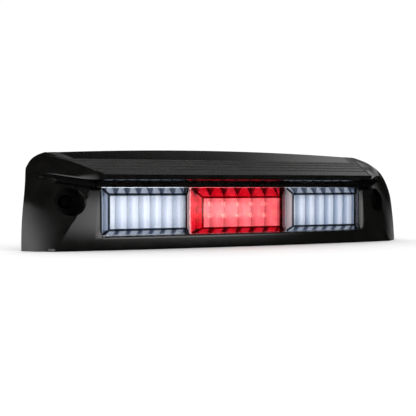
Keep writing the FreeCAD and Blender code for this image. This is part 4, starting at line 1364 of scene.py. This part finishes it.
# ------------------------------------------------------------------ fluted optics
@dataclass
class FlutedOptic:
    """A pale sheet with upright flutes whose ends slope back."""

    name: str
    node: str
    first_x: float
    count: int
    pitch: float
    front_y: float
    depth: float = 2.4
    wall: float = 1.4
    low: float = -25.0
    high: float = 4.5
    rise: float = 8.1
    drop: float = 4.4
    margin: float = 2.4
    facets: int = 12

    def profile(self) -> list[tuple[float, float]]:
        """Front line of the flutes, x and y."""
        radius = (self.pitch ** 2 / 4 + self.depth ** 2) / (2 * self.depth)
        flat = self.front_y + self.depth
        line = [(self.first_x - self.margin, flat)]
        for number in range(self.count):
            x = self.first_x + number * self.pitch
            for k in range(self.facets + (number == self.count - 1)):
                offset = self.pitch * (k / self.facets - 0.5)
                sag = radius - math.sqrt(max(0.0, radius ** 2 - offset ** 2))
                line.append((x + self.pitch / 2 + offset, self.front_y + sag))
        return line + [(self.first_x + self.count * self.pitch + self.margin, flat)]

    def build(self, material: bpy.types.Material) -> bpy.types.Object:
        """Build the optic.

        Args:
            material: its material.

        Returns:
            The piece.
        """
        line = self.profile()
        stations = [(self.low - self.drop, self.drop), (self.low, 0.0),
                    (self.high, 0.0), (self.high + self.rise, self.rise)]
        maker = MeshMaker()
        front = [[(x, y + back, z) for x, y in line] for z, back in stations]
        rear_y = self.front_y + self.depth + self.wall
        rear = [[(x, rear_y + back, z) for x, _ in line] for z, back in stations]
        maker.patch(front)
        maker.patch(rear, flip=True)
        for row in (0, -1):
            maker.patch([rear[row], front[row]], flip=row == -1)
        for column in (0, -1):
            maker.patch([[r[column] for r in front], [r[column] for r in rear]], flip=column == -1)
        piece = maker.make(self.name)
        fix_normals(piece)
        shade_smooth(piece, 30.0)
        dress(piece, material)
        place(piece, "frosted_optic", self.node)
        return piece


@dataclass
class OpticSet:
    """The three fluted optics behind the domes."""

    stop_count: int = 6
    stop_pitch: float = 14.6
    stop_front: float = -25.6
    stop_margin: float = 2.0
    cargo_count: int = 7
    cargo_pitch: float = 11.1
    cargo_front: float = -23.2
    cargo_inner: float = 54.4

    def build(self) -> None:
        """Build the three optics."""
        left = -self.cargo_inner - self.cargo_count * self.cargo_pitch
        for side, first in (("left", left), ("right", self.cargo_inner)):
            name = f"cargo_flutes_{side}"
            # cargo optics: painted shade across the flutes and a painted glow
            finish = FluteFinish(f"{name}_moulding", (0.60, 0.67, 0.80), (0.88, 0.92, 0.98), first_x=first,
                                 pitch=self.cargo_pitch, painted_glow_share=0.2)
            FlutedOptic(name, f"cargo_optic_{side}", first, self.cargo_count, self.cargo_pitch,
                        self.cargo_front).build(finish.material())
        first = -self.stop_count / 2 * self.stop_pitch
        # stop optic: painted shade in red tones, a stronger painted glow and painted lamp glints
        finish = FluteFinish("stop_flutes_moulding", (0.80, 0.76, 0.76), (0.98, 0.92, 0.92), first_x=first,
                             pitch=self.stop_pitch, cusp=(0.25, 0.08, 0.08), shade=(0.55, 0.42, 0.42),
                             wedge=(0.05, 0.01, 0.01), painted_glow_share=0.55,
                             glints=((-2.0, 0.16, 2.0), (-11.5, 0.20, 3.6)))
        FlutedOptic("stop_flutes", "stop_optic", first, self.stop_count, self.stop_pitch, self.stop_front,
                    margin=self.stop_margin).build(finish.material())


# ------------------------------------------------------------------ carried-over pieces
class CarriedPieces:
    """CAD pieces whose shape stays and which only get their finish."""

    def dress_all(self) -> None:
        """Give every carried-over node the material of its slot."""
        materials = {slot: finish.material() for slot, finish in CAD_FINISHES.items()}
        materials["clear_lens"] = CLEAR_LENS.material()
        materials["red_lens"] = RED_LENS_PAINTED_REFLECTION.material()
        materials["frosted_optic"] = PALE_OPTIC.material()
        slots = {entry["node"]: entry["slot"] for entry in frame["record"].get("node_materials", [])}
        for name, piece in frame["nodes"].items():
            slot = slots.get(name) or piece.data.materials[0].name.split(".")[0]
            material = materials.get("black_zinc" if name == "mounting_sleeves" else slot)
            if material is None:
                raise ValueError(f"{name} has no finish for slot {slot}")
            dress(piece, material)
            shade_smooth(piece, 30.0)
            log.info("dressed %s in %s", name, slot)


# ------------------------------------------------------------------ studio
def flat_sheet(name: str, width: float, height: float) -> bpy.types.Object:
    """A flat rectangle about its own origin, in metres.

    Args:
        name: the object's name.
        width: size along its X.
        height: size along its Y.

    Returns:
        The linked object.
    """
    x, y = width / 2, height / 2
    data = bpy.data.meshes.new(name)
    data.from_pydata([(-x, -y, 0), (x, -y, 0), (x, y, 0), (-x, y, 0)], [], [(0, 1, 2, 3)])
    sheet = bpy.data.objects.new(name, data)
    bpy.context.scene.collection.objects.link(sheet)
    return sheet


@dataclass
class Softbox:
    """A glowing panel whose light fades towards its edges."""

    name: str
    azimuth: float
    elevation: float
    distance: float
    width: float
    height: float
    strength: float
    fade: float = 1.0
    mirrored: bool = True

    def build(self) -> bpy.types.Object:
        """Build the panel, facing the lamp.

        Azimuth is measured from -Y towards +X, seen from the lamp.

        Returns:
            The panel.
        """
        turn, lift = math.radians(self.azimuth), math.radians(self.elevation)
        towards = Vector((math.sin(turn) * math.cos(lift), -math.cos(turn) * math.cos(lift), math.sin(lift)))
        panel = flat_sheet(self.name, self.width, self.height)
        panel.location = towards * self.distance
        panel.rotation_euler = towards.to_track_quat("Z", "Y").to_euler()
        panel.visible_camera = False
        panel.visible_glossy = self.mirrored
        panel.visible_shadow = False
        dress(panel, self.glow())
        return panel

    def glow(self) -> bpy.types.Material:
        """Light that fades smoothly from the middle of the panel to its edges."""
        nodes = Nodes(f"{self.name}_light")
        spread = nodes.add("ShaderNodeMapping")
        spread.inputs["Scale"].default_value = (2 / self.width, 2 / self.height, 1)
        nodes.link(nodes.place, spread.inputs["Vector"])
        parts = nodes.add("ShaderNodeSeparateXYZ")
        nodes.link(spread.outputs["Vector"], parts.inputs["Vector"])
        shares = []
        for axis in ("X", "Y"):
            edge = nodes.add("ShaderNodeMapRange", interpolation_type="SMOOTHSTEP")
            for name, number in (("From Min", 1.0 - self.fade), ("From Max", 1.0), ("To Min", 1.0),
                                 ("To Max", 0.0)):
                edge.inputs[name].default_value = number
            nodes.link(nodes.value("ABSOLUTE", parts.outputs[axis]), edge.inputs["Value"])
            shares.append(edge.outputs["Result"])
        light = nodes.add("ShaderNodeEmission")
        light.inputs["Color"].default_value = (1, 1, 1, 1)
        power = nodes.value("MULTIPLY", nodes.value("MULTIPLY", *shares), self.strength)
        nodes.link(power, light.inputs["Strength"])
        clear = nodes.add("ShaderNodeBsdfTransparent")
        both = nodes.add("ShaderNodeAddShader")
        nodes.link(light.outputs["Emission"], both.inputs[0])
        nodes.link(clear.outputs["BSDF"], both.inputs[1])
        return nodes.finish(both.outputs["Shader"])


def standard_softboxes() -> list[Softbox]:
    """The soft panels round the lamp: azimuth, elevation, distance, width, height, strength."""
    return [
        Softbox("key_panel", 17.0, -1.4, 2.0, 1.75, 0.64, 3.4, fade=0.75),
        Softbox("left_panel", -67.0, 2.0, 1.6, 2.3, 1.05, 2.8, fade=0.95),
        Softbox("right_panel", 125.0, 6.0, 1.8, 1.5, 0.9, 0.55),
        Softbox("high_panel", 126.0, 27.0, 2.2, 1.6, 0.9, 0.9),
        Softbox("back_panel", 160.0, 25.0, 2.2, 2.2, 0.7, 0.24),
        Softbox("top_panel", 0.0, 82.0, 1.8, 2.6, 2.0, 0.45, mirrored=False),
    ]


@dataclass
class Studio:
    """Camera, pale floor, white surround and soft panels."""

    camera_place: Point = (-0.412, -0.771, 0.0127)
    yaw: float = 27.0
    pitch: float = 1.3
    lens: float = 79.0
    floor_z: float = -0.0419
    floor_gap: float = 0.0002
    floor_reach: float = 6.0
    surround: float = 1.03
    softboxes: list[Softbox] = field(default_factory=standard_softboxes)

    def build(self) -> None:
        """Build everything that isn't the lamp."""
        scene = bpy.context.scene
        scene.view_settings.view_transform = "Standard"
        data = bpy.data.cameras.new("camera")
        data.lens = self.lens
        data.sensor_width = 36.0
        data.clip_start = 0.01
        camera = bpy.data.objects.new("camera", data)
        camera.location = self.camera_place
        camera.rotation_euler = Euler((math.radians(90 - self.pitch), 0, math.radians(-self.yaw)))
        scene.collection.objects.link(camera)
        scene.camera = camera
        world = bpy.data.worlds.new("surround")
        world.use_nodes = True
        background = world.node_tree.nodes["Background"]
        background.inputs["Color"].default_value = (1, 1, 1, 1)
        background.inputs["Strength"].default_value = self.surround
        world.cycles_visibility.glossy = False
        scene.world = world
        self.floor()
        for softbox in self.softboxes:
            softbox.build()

    def floor(self) -> None:
        """A plain pale floor under the lamp."""
        floor = flat_sheet("floor", 2 * self.floor_reach, 2 * self.floor_reach)
        floor.location.z = self.floor_z - self.floor_gap
        finish = SolidFinish("pale_floor", (0.985, 0.985, 0.985), (0.97, 0.97, 0.97), (0.9, 1.0),
                             patch_scale=4.0, grain_height=0.0, ior=1.05)
        dress(floor, finish.material())
        floor.visible_glossy = False


def main() -> None:
    """Build the studio and every piece, in order."""
    logging.basicConfig(level=logging.INFO, format="%(message)s")
    Studio().build()
    CarriedPieces().dress_all()
    HoodedHousing().build()
    MountingSleeves().build()
    LampLens().build()
    OpticSet().build()


if __name__ == "__main__":
    main()
